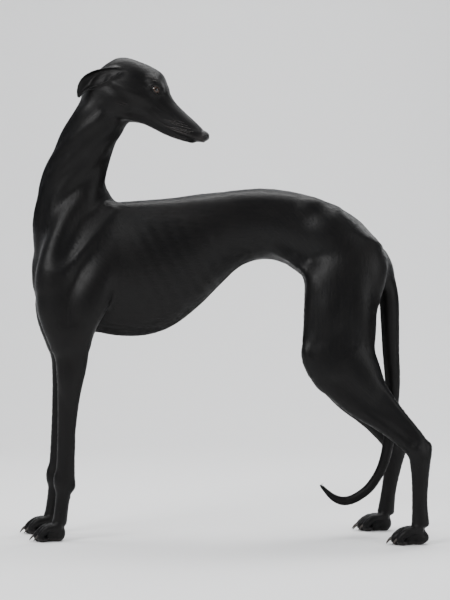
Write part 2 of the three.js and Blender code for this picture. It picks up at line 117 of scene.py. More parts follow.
# Tail: x, y, z, radius
TAIL = [
    [298, 0, 609, 26],
    [314, 0, 587, 24],
    [333, 0, 559, 22],
    [345, 0, 510, 21.3],
    [348, 1, 455, 19.8],
    [350, 3, 395, 18.2],
    [353.5, 5, 335, 16.6],
    [352, 7, 280, 14.8],
    [348, 8, 228, 13],
    [342, 8, 184, 11.8],
    [333, 8, 152, 11],
    [320, 8, 126, 10.4],
    [303, 8, 103, 10.4],
    [284, 8, 88, 10.2],
    [265, 7, 78.5, 10],
    [247, 6, 76.5, 9.6],
    [229, 5, 83, 8],
    [212, 4, 97.5, 5.4],
    [197, 3, 115, 2.8],
]
FORE_LEGS = {
    "left": {
        "elbow": (-318, 412), "wrist": (-340, 122), "fetlock": (-350, 40), "toe": -411, "out": 58, "heel": -4,
    },
    "right": {
        "elbow": (-340, 412), "wrist": (-368, 122), "fetlock": (-380, 40), "toe": -446, "out": 58, "heel": -1,
    },
}
FOREARM = [
    [-0.12, -8, 66, 41, 25],
    [0.02, -7, 66, 39, 23.5],
    [0.16, -3.5, 65, 32.5, 20.5],
    [0.36, -4.5, 63, 24.8, 17],
    [0.6, -4, 61, 20, 14.5],
    [0.84, -2, 59, 18.6, 14.2],
    [1.0, 0, 58, 20, 16.5],
]
FORE_PASTERN = [
    [0.2, 0, 58, 17.2, 15],
    [0.55, 0, 58, 15.2, 14.4],
    [1.0, 0, 58, 15.5, 16],
]
HIND_LEGS = {
    "left": {
        "hip": (262, 590), "knee": (205, 388), "hock": (400, 192), "fetlock": (399, 42), "toe": 331,
        "out": 104, "heel": 7,
    },
    "right": {
        "hip": (264, 590), "knee": (215, 388), "hock": (371, 186), "fetlock": (348, 42), "toe": 277,
        "out": 104, "heel": -1,
    },
}
THIGH = [
    [-0.2, 10, 46, 46, 26],
    [-0.05, 9, 52, 66, 34],
    [0.12, 7, 57, 75, 37],
    [0.32, 1, 60, 80, 37.5],
    [0.5, 4, 63, 77, 36.5],
    [0.72, 14.5, 67, 76.5, 33],
    [0.9, 20.5, 72, 75.5, 29],
    [1.03, 21, 76, 69, 25],
    [1.15, 27, 80, 50, 20],
]
SHANK = [
    [-0.02, 20, 72, 58, 24],
    [0.1, 12, 76, 70, 25],
    [0.22, 10, 80, 67, 23],
    [0.42, 1, 86, 51, 17],
    [0.63, 3, 91, 36.5, 9],
    [0.82, 4, 95, 28.5, 7.5],
    [0.94, 2, 97, 24.5, 12],
]
HIND_PASTERN = [
    [0.06, -1, 99, 24, 15],
    [0.2, 0, 100, 21.5, 13],
    [0.38, 0, 101, 18.6, 12.2],
    [0.7, -0.5, 102, 16.8, 12.4],
    [1.0, 1, 104, 19, 15.5],
]


def head_axes():
    """Forward along the muzzle, side to the dog's right, and up, as rows of a matrix."""
    cp, sp = np.cos(HEAD_PITCH), np.sin(HEAD_PITCH)
    cy, sy = np.cos(HEAD_YAW), np.sin(HEAD_YAW)
    forward = np.array([cp * cy, -cp * sy, -sp])
    up = np.array([sp * cy, -sp * sy, cp])
    return np.array([forward, np.cross(forward, up), up])


AXES = head_axes()


def to_head(points):
    """A point's forward, side and up in the head's own frame."""
    return (points - HEAD_AT) @ AXES.T


def from_head(points):
    """Back from the head's own frame."""
    return np.asarray(points, float) @ AXES + HEAD_AT


def rows_at(rows, t):
    """Catmull-Rom through the rows of a table; t counts rows."""
    rows = np.asarray(rows, float)
    last = len(rows) - 1
    i = np.clip(np.floor(t).astype(int), 0, last - 1)
    f = (t - i)[:, None]
    a, b, d, e = (rows[np.clip(i + k, 0, last)] for k in (-1, 0, 1, 2))
    return b + 0.5 * f * (d - a + f * (2 * a - 5 * b + 4 * d - e + f * (3 * (b - d) + e - a)))


def along_rows(rows, count):
    """A smooth path through a few rows, as this many rows."""
    return rows_at(rows, np.linspace(0, len(rows) - 1, count))


def on_side(sign, rows):
    """Rows with their second number, the one across the dog, set on the side of the sign."""
    return [[x, sign * y, *rest] for x, y, *rest in rows]


def unit(v):
    return v / (np.linalg.norm(v, axis=-1, keepdims=True) + 1e-12)


def ramp(value, start, width):
    """0 up to the start and 1 past the width, straight in between; a width below zero runs the other way."""
    return np.clip((value - start) / width, 0, 1)


def hump(x, wide):
    """A bell: 1 in the middle, a third at a width from it."""
    return np.exp(-((x / wide) ** 2))


def across_of(along, side):
    """The direction nearest to the side that stands square to each step of a path."""
    side = np.asarray(side, float)
    return unit(side - along * (along @ side)[:, None])


def nearest(points, places):
    """The number of the place nearest to each point."""
    middle = places.mean(0)
    points, places = points - middle, places - middle
    squares = (places * places).sum(1)
    out = np.empty(len(points), int)
    block = NEAREST_PAIRS // len(places)
    for i in range(0, len(points), block):
        out[i : i + block] = (squares - 2 * points[i : i + block] @ places.T).argmin(1)
    return out


def inside_box(points, low, high):
    """The numbers of the points inside a box."""
    return np.flatnonzero(((points > low) & (points < high)).all(1))


def ring_share(u, v, a, b, power):
    """1 on a superellipse with half axes a and b, less inside it and more outside."""
    return (np.abs(u / a) ** power + np.abs(v / b) ** power) ** (1 / power)


def past_skin(reach, share):
    """How far outside a form a point lies, from its reach and its share of the way to the skin."""
    return reach - reach / np.maximum(share, 1e-6)


# A solid as a distance to its surface, negative inside, with the corners of the box that holds it
Form = namedtuple("Form", "low high distance")


def limb(rows, side=(0, 1, 0), spacing=5.0):
    """A limb round a Catmull-Rom path through rows of x, y, z, half depth and half width.

    Each point takes the section at its nearest place on the path, with one Newton step between samples.
    Past an end the section closes as part of an ellipsoid."""
    rows = np.array([r if len(r) == 5 else [*r, r[3]] for r in rows], float)
    rough = np.linalg.norm(np.diff(rows[:, :3], axis=0), axis=1).sum()
    count = max(int(rough / spacing), 6)
    fine = along_rows(rows, 400)
    run = np.concatenate([[0], np.cumsum(np.linalg.norm(np.diff(fine[:, :3], axis=0), axis=1))])
    even = np.linspace(0, run[-1], count)
    sections = np.stack([np.interp(even, run, fine[:, c]) for c in range(5)], 1)
    centre, sizes = sections[:, :3], sections[:, 3:]
    step = run[-1] / (count - 1)
    along = unit(np.gradient(centre, axis=0))
    across = across_of(along, side)
    upright = np.cross(across, along)
    bend = np.gradient(along, axis=0)
    reach = sizes.max() * 1.05

    def distance(p):
        near = nearest(p, centre)
        off = p - centre[near]
        slip = (off * along[near]).sum(1) / np.maximum(step - (off * bend[near]).sum(1), 0.3 * step)
        free = near + np.clip(slip, -1, 1)
        t = np.clip(free, 0, count - 1)
        i = np.minimum(t.astype(int), count - 2)
        f = (t - i)[:, None]

        def here(values):
            return values[i] * (1 - f) + values[i + 1] * f

        off = p - here(centre)
        u, v, w = ((off * here(way)).sum(1) for way in (upright, across, along))
        w = np.where(free != t, np.abs(w), 0)
        a, b = here(sizes).T
        ring = ring_share(u, v, a, b, 2.0)
        cap = LIMB_CAP * np.minimum(a, b)
        return past_skin(np.sqrt(u * u + v * v + w * w), np.sqrt(ring * ring + (w / cap) ** 2))

    return Form(centre.min(0) - reach, centre.max(0) + reach, distance)


def bulge(at, radii, along=(1, 0, 0), side=(0, 1, 0)):
    """An ellipsoid: radii along its long axis, across it, and along its side axis."""
    at, along, side = (np.asarray(v, float) for v in (at, along, side))
    x = unit(along)
    z = unit(side - x * (side @ x))
    turn = np.array([x, np.cross(z, x), z])

    def distance(p):
        q = (p - at) @ turn.T
        return past_skin(np.linalg.norm(q, axis=1), np.linalg.norm(q / np.array(radii), axis=1))

    return Form(at - max(radii), at + max(radii), distance)


def barrel(rows, upper, lower, caps, in_head_frame=False):
    """Sections across one straight axis, from rows of along, top, bottom, widest level and half width.

    The half above the widest level and the half below it have their own roundness."""
    rows = np.asarray(rows, float)
    fine = along_rows(rows, 300)
    ends = rows[[0, -1], 0]
    heights = rows[:, 2].min(), rows[:, 1].max()
    corners = np.array([[x, y, z] for x in ends for y in (-90, 90) for z in heights])
    if in_head_frame:
        corners = from_head(corners)

    def distance(p):
        x, y, z = (to_head(p) if in_head_frame else p).T
        top, bottom, level, half = (np.interp(x, fine[:, 0], fine[:, c]) for c in (1, 2, 3, 4))
        w = x - np.clip(x, *ends)
        z = z - level
        tall = np.where(z > 0, top - level, level - bottom)
        ring = ring_share(y, z, half, tall, np.where(z > 0, upper, lower))
        cap = np.where(w < 0, *caps) * np.minimum(half, (top - bottom) / 2)
        return past_skin(np.sqrt(y * y + z * z + w * w), np.sqrt(ring * ring + (w / cap) ** 2))

    return Form(corners.min(0) - 30, corners.max(0) + 30, distance)


def melt(a, b, k):
    """The smaller of two distances, rounded where they are within k of each other."""
    h = np.maximum(k - np.abs(a - b), 0) / k
    return np.minimum(a, b) - h * h * k / 4


def bone_rows(rows, start, end, sign):
    """Rows along a bone, of share, back, out, half depth and half width, as rows in space."""
    (x0, z0), (x1, z1) = start, end
    length = np.hypot(x1 - x0, z1 - z0)
    back = (-(z1 - z0) / length, (x1 - x0) / length)
    return [
        [x0 + (x1 - x0) * t + back[0] * off, sign * out, z0 + (z1 - z0) * t + back[1] * off, a, b]
        for t, off, out, a, b in rows
    ]


# Muscle along each side of the spine, and the fold from the belly to the thigh: x, y, z, radius
BACK_MUSCLE = [
    [-215, 27, 687, 20], [-80, 29, 694, 22], [40, 29, 708, 23], [150, 31, 700, 25], [225, 34, 677, 25],
]
FLANK = [[104, 32, 612, 6], [150, 48, 580, 9], [190, 62, 540, 11], [214, 72, 480, 10]]


def torso_forms():
    """The trunk, and the muscles and bones that show on it."""
    forms = [
        (barrel(TORSO, 2.2, 1.75, (0.25, 0.4)), 1),
        (bulge((-345, 0, 497), (62, 74, 46)), 26),
        (bulge((-388, 0, 580), (15, 26, 17)), 24),
    ]
    for s in (-1, 1):
        forms += [
            (limb(on_side(s, BACK_MUSCLE), spacing=12), 18),
            (bulge((176, s * 46, 700), (20, 14, 13)), 24),
            (bulge((308, s * 36, 582), (22, 30, 18)), 26),
            (bulge((-368, s * 30, 520), (34, 54, 29)), 15),
            (limb(on_side(s, FLANK)), 26),
        ]
    return forms


# Muscles of the shoulder: x, y, z, how much of the elbow's shift they follow, and their radii
BLADE_RIDGE = [[-238, 46, 694, 0, 3], [-290, 74, 620, 0, 6], [-338, 86, 562, 0.1, 6]]
UPPER_ARM = [
    [-354, 62, 560, 0.3, 36, 27], [-352, 68, 505, 0.85, 46, 28], [-343, 68, 452, 1, 43, 25],
    [-333, 66, 412, 1, 33, 21],
]
ARM_BACK = [
    [-236, 56, 622, 0, 24, 13], [-262, 70, 560, 0.2, 38, 22], [-290, 75, 500, 0.6, 43, 25],
    [-304, 73, 446, 0.9, 30, 21], [-307, 67, 412, 1, 17, 14],
]
NECK_TO_ARM = [
    [-306, 42, 722, 0, 13], [-338, 51, 668, 0, 24], [-366, 60, 590, 0.1, 27], [-372, 64, 535, 0.4, 22],
]


def shoulder_forms(side):
    """Shoulder blade, upper arm and the muscles over them; the lower ones follow the elbow."""
    s, leg = SIDES[side], FORE_LEGS[side]
    ahead = leg["elbow"][0] - FORE_LEGS["left"]["elbow"][0]

    def moved(rows):
        return [[x + ahead * share, s * y, z, *radii] for x, y, z, share, *radii in rows]

    blade, point = moved([[-296, 52, 618, 0], [-350, 60, 552, 0.2]])
    blade_way = unit(np.array([-140, s * 40, -172.0]))
    return [
        (bulge(blade, (112, 44, 25), along=blade_way, side=(0, s, 0.25)), 20),
        (limb(moved(BLADE_RIDGE)), 16),
        (bulge(point, (44, 40, 32), along=(0.12, 0, 1)), 22),
        (limb(moved(UPPER_ARM)), 20),
        (limb(moved(ARM_BACK)), 14),
        (limb(moved(NECK_TO_ARM)), 24),
    ]


def foreleg_forms(side):
    """Forearm, wrist and pastern, with the point of the elbow, the tendons behind and the wrist's bone."""
    s, leg = SIDES[side], FORE_LEGS[side]
    (ex, ez), (wx, wz) = leg["elbow"], leg["wrist"]
    arm = bone_rows(FOREARM, leg["elbow"], leg["wrist"], s)
    arm += bone_rows(FORE_PASTERN, leg["wrist"], leg["fetlock"], s)
    tendon = [[wx + 15, s * 57, wz + up, 5.5, 6] for up in (92, 60, 26, 2)]
    return [
        (limb(arm), 18),
        (bulge((ex + 12, s * 62, ez + 3), (11, 19, 9), along=(0.96, 0, 0.2)), 12),
        (bulge((ex - 16, s * 70, ez - 66), (58, 14, 13), along=(0.1, 0, -1)), 16),
        (limb(tendon), 8),
        (bulge((wx + 13, s * 59, wz - 6), (10, 13, 9)), 8),
        (bulge((wx - 14, s * 58, wz + 4), (9, 20, 13)), 10),
        (bulge((wx + 7, s * 46, wz - 31), (8, 5, 5), along=(0.1, 0, 1)), 7),
    ]


def thigh_forms(side):
    """Thigh, with the haunch, the front and hind muscles and the knee cap."""
    s, leg = SIDES[side], HIND_LEGS[side]
    kx, kz = leg["knee"]
    shift = kx - HIND_LEGS["left"]["knee"][0]
    return [
        (limb(bone_rows(THIGH, leg["hip"], leg["knee"], s)), 22),
        (bulge((228, s * 50, 640), (62, 44, 30), along=(0.8, 0, -0.6)), 24),
        (bulge((220 + shift * 0.5, s * 74, 474), (80, 34, 24), along=(-0.1, 0.04 * s, -1)), 14),
        (bulge((274 + shift * 0.4, s * 72, 500), (88, 30, 25), along=(0.02, 0.1 * s, -1)), 16),
        (bulge((kx - 36, s * 80, kz + 4), (19, 11, 13), along=(0.25, 0, -1)), 12),
    ]


# Muscles along the lower hind leg: share of the bone, back, out, half depth and half width
SHIN = [
    [0.1, -38, 82, 17, 15], [0.3, -36, 86, 16, 15], [0.5, -27, 90, 14.5, 14], [0.72, -14, 94, 14, 13.5],
    [0.95, -7, 97, 15, 14],
]
HAMSTRING = [[0.3, 40, 88, 13, 13], [0.5, 33, 90, 9.5, 9], [0.7, 26, 93, 7.6, 7], [0.9, 22, 96, 7, 7]]
CALF = [[0.12, 34, 82, 34, 19], [0.3, 26, 86, 32, 19], [0.45, 22, 89, 18, 13]]


def shank_forms(side):
    """Lower leg, with the calf, the shin, the hamstring, the ankle and the heel bone."""
    s, leg = SIDES[side], HIND_LEGS[side]
    hx, hz = leg["hock"]
    shank, shin, calf, hamstring = (
        bone_rows(rows, leg["knee"], leg["hock"], s) for rows in (SHANK, SHIN, CALF, HAMSTRING)
    )
    return [
        (limb(shank + bone_rows(HIND_PASTERN, leg["hock"], leg["fetlock"], s)), 16),
        (limb(shin), 9),
        (limb(calf), 14),
        (limb(hamstring + [[hx + 14, s * 98, hz + 8, 8.5, 8.5]]), 7),
        (bulge((hx + 16, s * 98, hz + 3), (18, 9, 8.5), along=(0.05, 0, 1)), 8),
        (bulge((hx - 7, s * 109, hz + 6), (12, 9, 6), along=(0.3, 0, 1)), 9),
        (bulge((hx - 7, s * 87, hz + 6), (12, 9, 6), along=(0.3, 0, 1)), 9),
    ]


TOES = [(-17, 0.8), (-6.2, 0.98), (6.2, 1), (17, 0.8)]  # how far out each stands, and its share of the reach
# Along a toe: share of its reach, share of its spread, height and radius
TOE = [
    (0, 0.5, 33, 9.5), (0.3, 0.82, 29.5, 8.6), (0.56, 0.96, 27.5, 9.2), (0.75, 1, 21.5, 8.8),
    (0.9, 1.03, 13, 8.2),
]
CLAW_LENGTH = 12


def paw_place(leg, sign, ahead, out, up):
    """A place in a paw: ahead of the fetlock, out from the paw's middle and up."""
    return [leg["fetlock"][0] - ahead, sign * (leg["out"] + out), up]


def toe_reach(leg):
    """How far the longest toe reaches ahead of the fetlock, without its claw."""
    return leg["fetlock"][0] - leg["toe"] - CLAW_LENGTH * 0.7


def paw_forms(side, leg):
    """Four long arched toes with their pads, and the heel pad. Pads melt little, so the toes stay apart."""
    place = partial(paw_place, leg, SIDES[side])
    reach = toe_reach(leg)
    forms = [
        (bulge(place(5, 0, 22), (24, 15, 16.5), along=(0, 0, 1)), 8),
        (bulge(place(reach * 0.38, 0, 17), (22, 13, 16)), 7),
        (bulge(place(-leg["heel"], 0, 14), (12, 11, 11)), 14),
    ]
    for spread, share in TOES:
        far = reach * share
        toe = [[*place(far * ahead, spread * out, up), radius] for ahead, out, up, radius in TOE]
        toe.append([*place(far - 6, spread * 1.05, 8.8), 6.6])
        forms += [
            (limb(toe, spacing=3), 3.2),
            (bulge(place(far * 0.8, spread * 1.04, 6), (11.5, 7, 8.2)), 2.6),
        ]
    forms.append((bulge(place(reach * 0.36, 0, 8), (15, 9.5, 16)), 2.6))
    return forms


# The neck twists as the head turns: how far round the throat lies, row by row
NECK_TWIST = [0, 4, 14, 30, 52, 78, 104, 126, 142, 150]
CREST = [[-300, -30, 860, 17], [-293, -37, 892, 20], [-283, -43, 921, 21], [-270, -47, 950, 22]]


def neck_point(t, turn, sink):
    """A point under the neck's skin at row t, turned from the chest by the camera's side to the back."""
    row = rows_at(NECK, np.array([t, min(t + 0.05, len(NECK) - 1), max(t - 0.05, 0)]))
    along = unit(row[1, :3] - row[2, :3])
    across = unit(np.array([0, 1.0, 0]) - along * along[1])
    front = -np.cross(along, across) * np.sign(np.cross(along, across)[0])
    angle = np.radians(turn)
    deep, wide = row[0, 3:] - sink
    return row[0, :3] + front * np.cos(angle) * deep - across * np.sin(angle) * wide


def strand(turn, radius, sink, rows=(0.6, 8.8), thin=0.7):
    """A muscle along the neck, kept at one angle from the throat, that dives under the skin at both ends."""
    first, last = rows
    out = []
    for t in np.linspace(first, last, 8):
        share = (t - first) / (last - first)
        r = radius * (1 - (1 - thin) * share)
        twist = np.interp(t, range(len(NECK_TWIST)), NECK_TWIST)
        dive = 16 * np.clip(1 - (last - t) / 1.4, 0, 1) ** 2 + 8 * np.clip(1 - (t - first) / 1.2, 0, 1) ** 2
        out.append([*neck_point(t, twist + turn, sink + dive + r * 0.75), r])
    return limb(out, spacing=8)


def neck_forms():
    """The neck, with the windpipe between its two front muscles, the long side muscles and the crest."""
    return [
        (limb(NECK, spacing=8), 16),
        (strand(0, 19, 1.2, (1.2, 8.6), 0.9), 12),
        (strand(42, 17, 0), 13),
        (strand(-42, 17, 0), 13),
        (strand(96, 23, 0.6, (1.2, 8.8)), 18),
        (strand(-96, 23, 0.6, (1.2, 8.8)), 18),
        (strand(180, 22, 0.2, (2.6, 8.8)), 14),
        (limb(CREST, spacing=8), 24),
    ]


def head_limb(rows):
    """A limb from rows given in the head's frame: forward, side, up and radius."""
    rows = np.array(rows, float)
    return limb(np.concatenate([from_head(rows[:, :3]), rows[:, 3:]], 1), side=AXES[1])


def head_bulge(at, radii, along=(1, 0, 0)):
    """An ellipsoid given in the head's frame."""
    return bulge(from_head([at])[0], radii, np.asarray(along) @ AXES, np.asarray((0, 1, 0)) @ AXES)


EYE_AT = (90, 26, 50)  # in the head's frame: forward, side and up
EYE_RADIUS = 11.6
GAZE = (0.5, 0.84, 0.2)
OPENING = (60, 36)  # half angles of the lids' opening, along it and across it
OPENING_POWERS = (1.7, 1.9)
DROOP = 0.018  # how fast the opening sinks towards its inner corner
SLANT = 6  # degrees that the outer corner stands higher


def eye_frame(sign):
    """An eye's middle, and its axes as rows: to the inner corner, up, and out along the gaze."""
    at = from_head([(EYE_AT[0], sign * EYE_AT[1], EYE_AT[2])])[0]
    out = unit(np.array([GAZE[0], sign * GAZE[1], GAZE[2]]) @ AXES)
    inward = unit(AXES[0] - out * (AXES[0] @ out))
    up = unit(AXES[2] - out * (AXES[2] @ out) - inward * (AXES[2] @ inward))
    c, s = np.cos(np.radians(SLANT)), np.sin(np.radians(SLANT))
    return at, np.array([inward * c - up * s, up * c + inward * s, out])


def opening_share(points, sign):
    """How far across the lids' opening a point lies: 0 in its middle, 1 at its edge, 9 behind the eye."""
    at, axes = eye_frame(sign)
    x, y, out = ((points - at) @ axes.T).T
    reach = np.sqrt(x * x + y * y + out * out)
    wide, tall = (EYE_RADIUS * np.sin(np.radians(a)) for a in OPENING)
    droop = np.where(x > 0, y + DROOP * x * x, y)
    across = np.abs(x / wide) ** OPENING_POWERS[0] + np.abs(droop / tall) ** OPENING_POWERS[1]
    return np.where(out > 0, across ** 0.55, 9.0), reach


# Limbs of the head, in its own frame: forward, side, up, radius
CHEEK_BONE = [[92, 25, 21, 4], [76, 33, 24, 6.5], [50, 40.5, 22, 8.5], [22, 43, 20, 8.5], [0, 40, 20, 7]]
JAW = [[10, 34, -30, 9], [50, 27, -30, 8], [100, 19, -18, 6], [160, 12, -13, 5], [205, 7, -2, 5]]
UPPER_LIP = [
    [84, 22, 5, 3], [104, 21.5, 4, 6], [140, 19.5, 3, 6.5], [180, 17.5, 6, 6.5], [208, 14, 11, 6.5],
    [222, 7, 14, 6],
]
FACE_VEIN = [[84, 33, 30], [100, 28, 24], [122, 25.5, 20], [148, 23, 22]]
MOUTH = [
    [90, 35, -1], [112, 29.5, -4], [140, 25.5, -4], [175, 22.5, 1], [205, 19, 7], [222, 12.5, 10.5],
    [230, 0, 12],
]


def head_forms():
    """Skull and muzzle, with cheek bones, jaw, brows, lips and the lids' bulge over each eye."""
    forms = [
        (barrel(HEAD, 2.2, 1.9, (0.7, 0.5), in_head_frame=True), 22),
        (head_bulge((-19, 0, 38), (15, 11, 17)), 20),
    ]
    for s in (-1, 1):
        forms += [
            (head_limb(on_side(s, CHEEK_BONE)), 12),
            (head_bulge((28, s * 34, -6), (34, 27, 14)), 12),
            (head_bulge((20, s * 23, 50), (42, 28, 22)), 16),
            (head_bulge((83, s * 24, 60), (22, 11.5, 12), along=(1, -0.1 * s, -0.25)), 12),
            (head_limb(on_side(s, JAW)), 12),
            (head_limb(on_side(s, UPPER_LIP)), 9),
            (head_bulge((EYE_AT[0], s * EYE_AT[1], EYE_AT[2]), (13.8, 13.8, 13.8)), 9),
        ]
    return forms


# Ear, folded back: forward, side, up, radius of the cup, half opening angle of the sheet in degrees
EAR = [
    [22, 33, 50, 8, 160],
    [11, 38, 45, 11, 146],
    [-1, 43, 34.5, 13.5, 124],
    [-15, 46, 20.5, 15.5, 102],
    [-29, 49, 6.5, 16.5, 84],
    [-40, 51, -9, 15, 74],
    [-43, 52, -27, 9.5, 66],
    [-39, 52, -42, 2.5, 60],
]
EAR_TURN = 8  # degrees that the cup's mouth looks down
EAR_THICK = 1.9  # half the thickness of the ear's leather
EAR_SAMPLES = (96, 64)  # along the ear and across it


def ear_sheet(sign):
    """The ear as a sheet: at each place along its path an arc of the cup's radius, open outwards."""
    v, w = np.meshgrid(np.linspace(0, 1, EAR_SAMPLES[0]), np.linspace(-1, 1, EAR_SAMPLES[1]), indexing="ij")
    rows = rows_at(EAR, v[:, 0] * (len(EAR) - 1))
    centre = rows[:, :3]
    along = unit(np.gradient(centre, axis=0))
    mouth = unit(np.array([0, 1.0, 0]) - along * along[:, 1:2])
    wide = np.cross(along, mouth)
    c, s = np.cos(np.radians(EAR_TURN)), np.sin(np.radians(EAR_TURN))
    mouth, wide = mouth * c - wide * s, wide * c + mouth * s
    angle = (np.radians(rows[:, 4])[:, None] * w)[..., None]
    ripple = 0.5 * np.sin(5 * w + 9 * v) * v
    r = (rows[:, 3][:, None] + ripple)[..., None]
    sheet = centre[:, None] + r * (np.sin(angle) * wide[:, None] - np.cos(angle) * mouth[:, None])
    sheet = sheet * [1, sign, 1]
    normal = unit(np.cross(np.gradient(sheet, axis=0), np.gradient(sheet, axis=1))) * sign
    edge = np.maximum(np.abs(w), v)
    return from_head(sheet.reshape(-1, 3)), (normal @ AXES).reshape(-1, 3), edge.ravel()


def ear_form(sign):
    """A thin wall round the ear's sheet: the distance to the nearest place on it, less half its thickness."""
    places, normals, edge = ear_sheet(sign)

    def distance(p):
        near = nearest(p, places)
        off = p - places[near]
        up = (off * normals[near]).sum(1)
        flat = np.sqrt(np.maximum((off * off).sum(1) - up * up, 0))
        thick = EAR_THICK + 1.2 * np.clip(1 - edge[near], 0, 0.6)
        return np.sqrt(up * up + np.maximum(flat - 0.9, 0) ** 2) - thick

    return Form(places.min(0) - 3, places.max(0) + 3, distance)


def body_forms():
    """Every form of the flesh in the order in which they melt together."""
    forms = torso_forms() + neck_forms()
    for side in SIDES:
        forms += shoulder_forms(side) + foreleg_forms(side) + paw_forms(side, FORE_LEGS[side])
        forms += thigh_forms(side) + shank_forms(side) + paw_forms(side, HIND_LEGS[side])
    forms.append((limb(TAIL, spacing=6), 30))
    forms += head_forms()
    forms += [(ear_form(s), 5) for s in (-1, 1)]
    return forms


FORMS = body_forms()
FAR = 1000.0


def carve_eyes(points, out):
    """Opens the skin between the lids, down to just under the eyeball."""
    for sign in (-1, 1):
        near = np.flatnonzero(np.linalg.norm(points - eye_frame(sign)[0], axis=1) < 24)
        if len(near):
            share, reach = opening_share(points[near], sign)
            hollow = np.maximum((share - 1) * 7, EYE_RADIUS - 1.4 - reach)
            out[near] = -melt(-out[near], hollow, 1.6)


def flesh_part(points, margin):
    """Distance to the whole animal's skin, each form reckoned only on the points within a margin of it."""
    out = np.full(len(points), FAR)
    for form, k in FORMS:
        reach = k + margin
        near = inside_box(points, form.low - reach, form.high + reach)
        if len(near):
            out[near] = melt(out[near], form.distance(points[near]), k)
    carve_eyes(points, out)
    return np.maximum(out + SKIN_INSET, -points[:, 2])


def flesh(points, margin=12):
    """Distance to the whole animal's skin at any points, in millimetres, worked out on every core."""
    blocks = np.array_split(points, max(len(points) // 12000, 1))
    with ThreadPoolExecutor() as pool:
        return np.concatenate(list(pool.map(lambda block: flesh_part(block, margin), blocks)))


# The lattice that the skin is read from: fine round the head and paws, coarser along the body
LATTICE_X = 222
LATTICE_Y = 102
# Heights, and how far apart the lattice's levels lie there
LEVELS = [
    (-3, 2.1), (34, 2.1), (70, 5), (120, 9), (690, 8), (790, 6), (880, 1.8), (895, 1.5), (1014, 1.5),
    (1020, 2),
]


def spread_samples(low, high, count, dense, weight):
    """Samples from low to high, closer together inside the dense stretches."""
    x = np.linspace(low, high, 4000)
    want = np.ones_like(x)
    for a, b in dense:
        want += weight / (1 + np.exp((a - x) / 8)) / (1 + np.exp((x - b) / 8))
    total = np.concatenate([[0], np.cumsum((want[1:] + want[:-1]) / 2)])
    return np.interp(np.linspace(0, total[-1], count), total, x)


def lattice():
    """Heights, and for each height the places along and across: a bent grid that follows the animal."""
    z = [LEVELS[0][0]]
    while z[-1] < LEVELS[-1][0]:
        z.append(z[-1] + np.interp(z[-1], *zip(*LEVELS)))
    z = np.array(z)
    body_x = spread_samples(-462, 448, LATTICE_X, [], 0)
    paw_x = spread_samples(-462, 448, LATTICE_X, [(-452, -326), (268, 428)], 1.6)
    head_x = spread_samples(-346, -22, LATTICE_X, [(-322, -196)], 0.5)
    body_y = np.linspace(-136, 136, LATTICE_Y)
    paw_y = spread_samples(-136, 136, LATTICE_Y, [(-132, -76), (-82, -34), (34, 82), (76, 132)], 1.2)
    head_y = np.linspace(-124, 28, LATTICE_Y)
    low, high = ramp(z, 110, -70)[:, None], ramp(z, 770, 110)[:, None]
    low, high = (share * share * (3 - 2 * share) for share in (low, high))
    x = body_x + (paw_x - body_x) * low + (head_x - body_x) * high
    y = body_y + (paw_y - body_y) * low + (head_y - body_y) * high
    return x.T, y.T, z


def lattice_field(x, y, z):
    """The distance on every lattice point: coarsely first, then only where the skin is near."""
    counts = len(x), len(y), len(z)
    step = 4
    i, j, k = np.meshgrid(*(np.arange(0, n, step) for n in counts), indexing="ij")
    rough = flesh(np.stack([x[i, k], y[j, k], z[k]], -1).reshape(-1, 3), margin=45).reshape(i.shape)
    for axis, n in enumerate(counts):
        order = np.clip(np.arange(n) + step // 2, 0, n - 1)
        rough = np.take(rough.repeat(step, axis), order, axis)
    field = rough.astype(np.float32)
    wide = 1.7 * step * np.maximum(np.ptp(x, 0) / len(x), np.gradient(z))
    i, j, k = np.nonzero(np.abs(rough) < wide)
    field[i, j, k] = flesh(np.stack([x[i, k], y[j, k], z[k]], -1))
    return field


CORNERS = np.array([[a, b, c] for a in (0, 1) for b in (0, 1) for c in (0, 1)])
EDGES = [(p, q) for p in range(8) for q in range(p + 1, 8) if np.abs(CORNERS[p] - CORNERS[q]).sum() == 1]


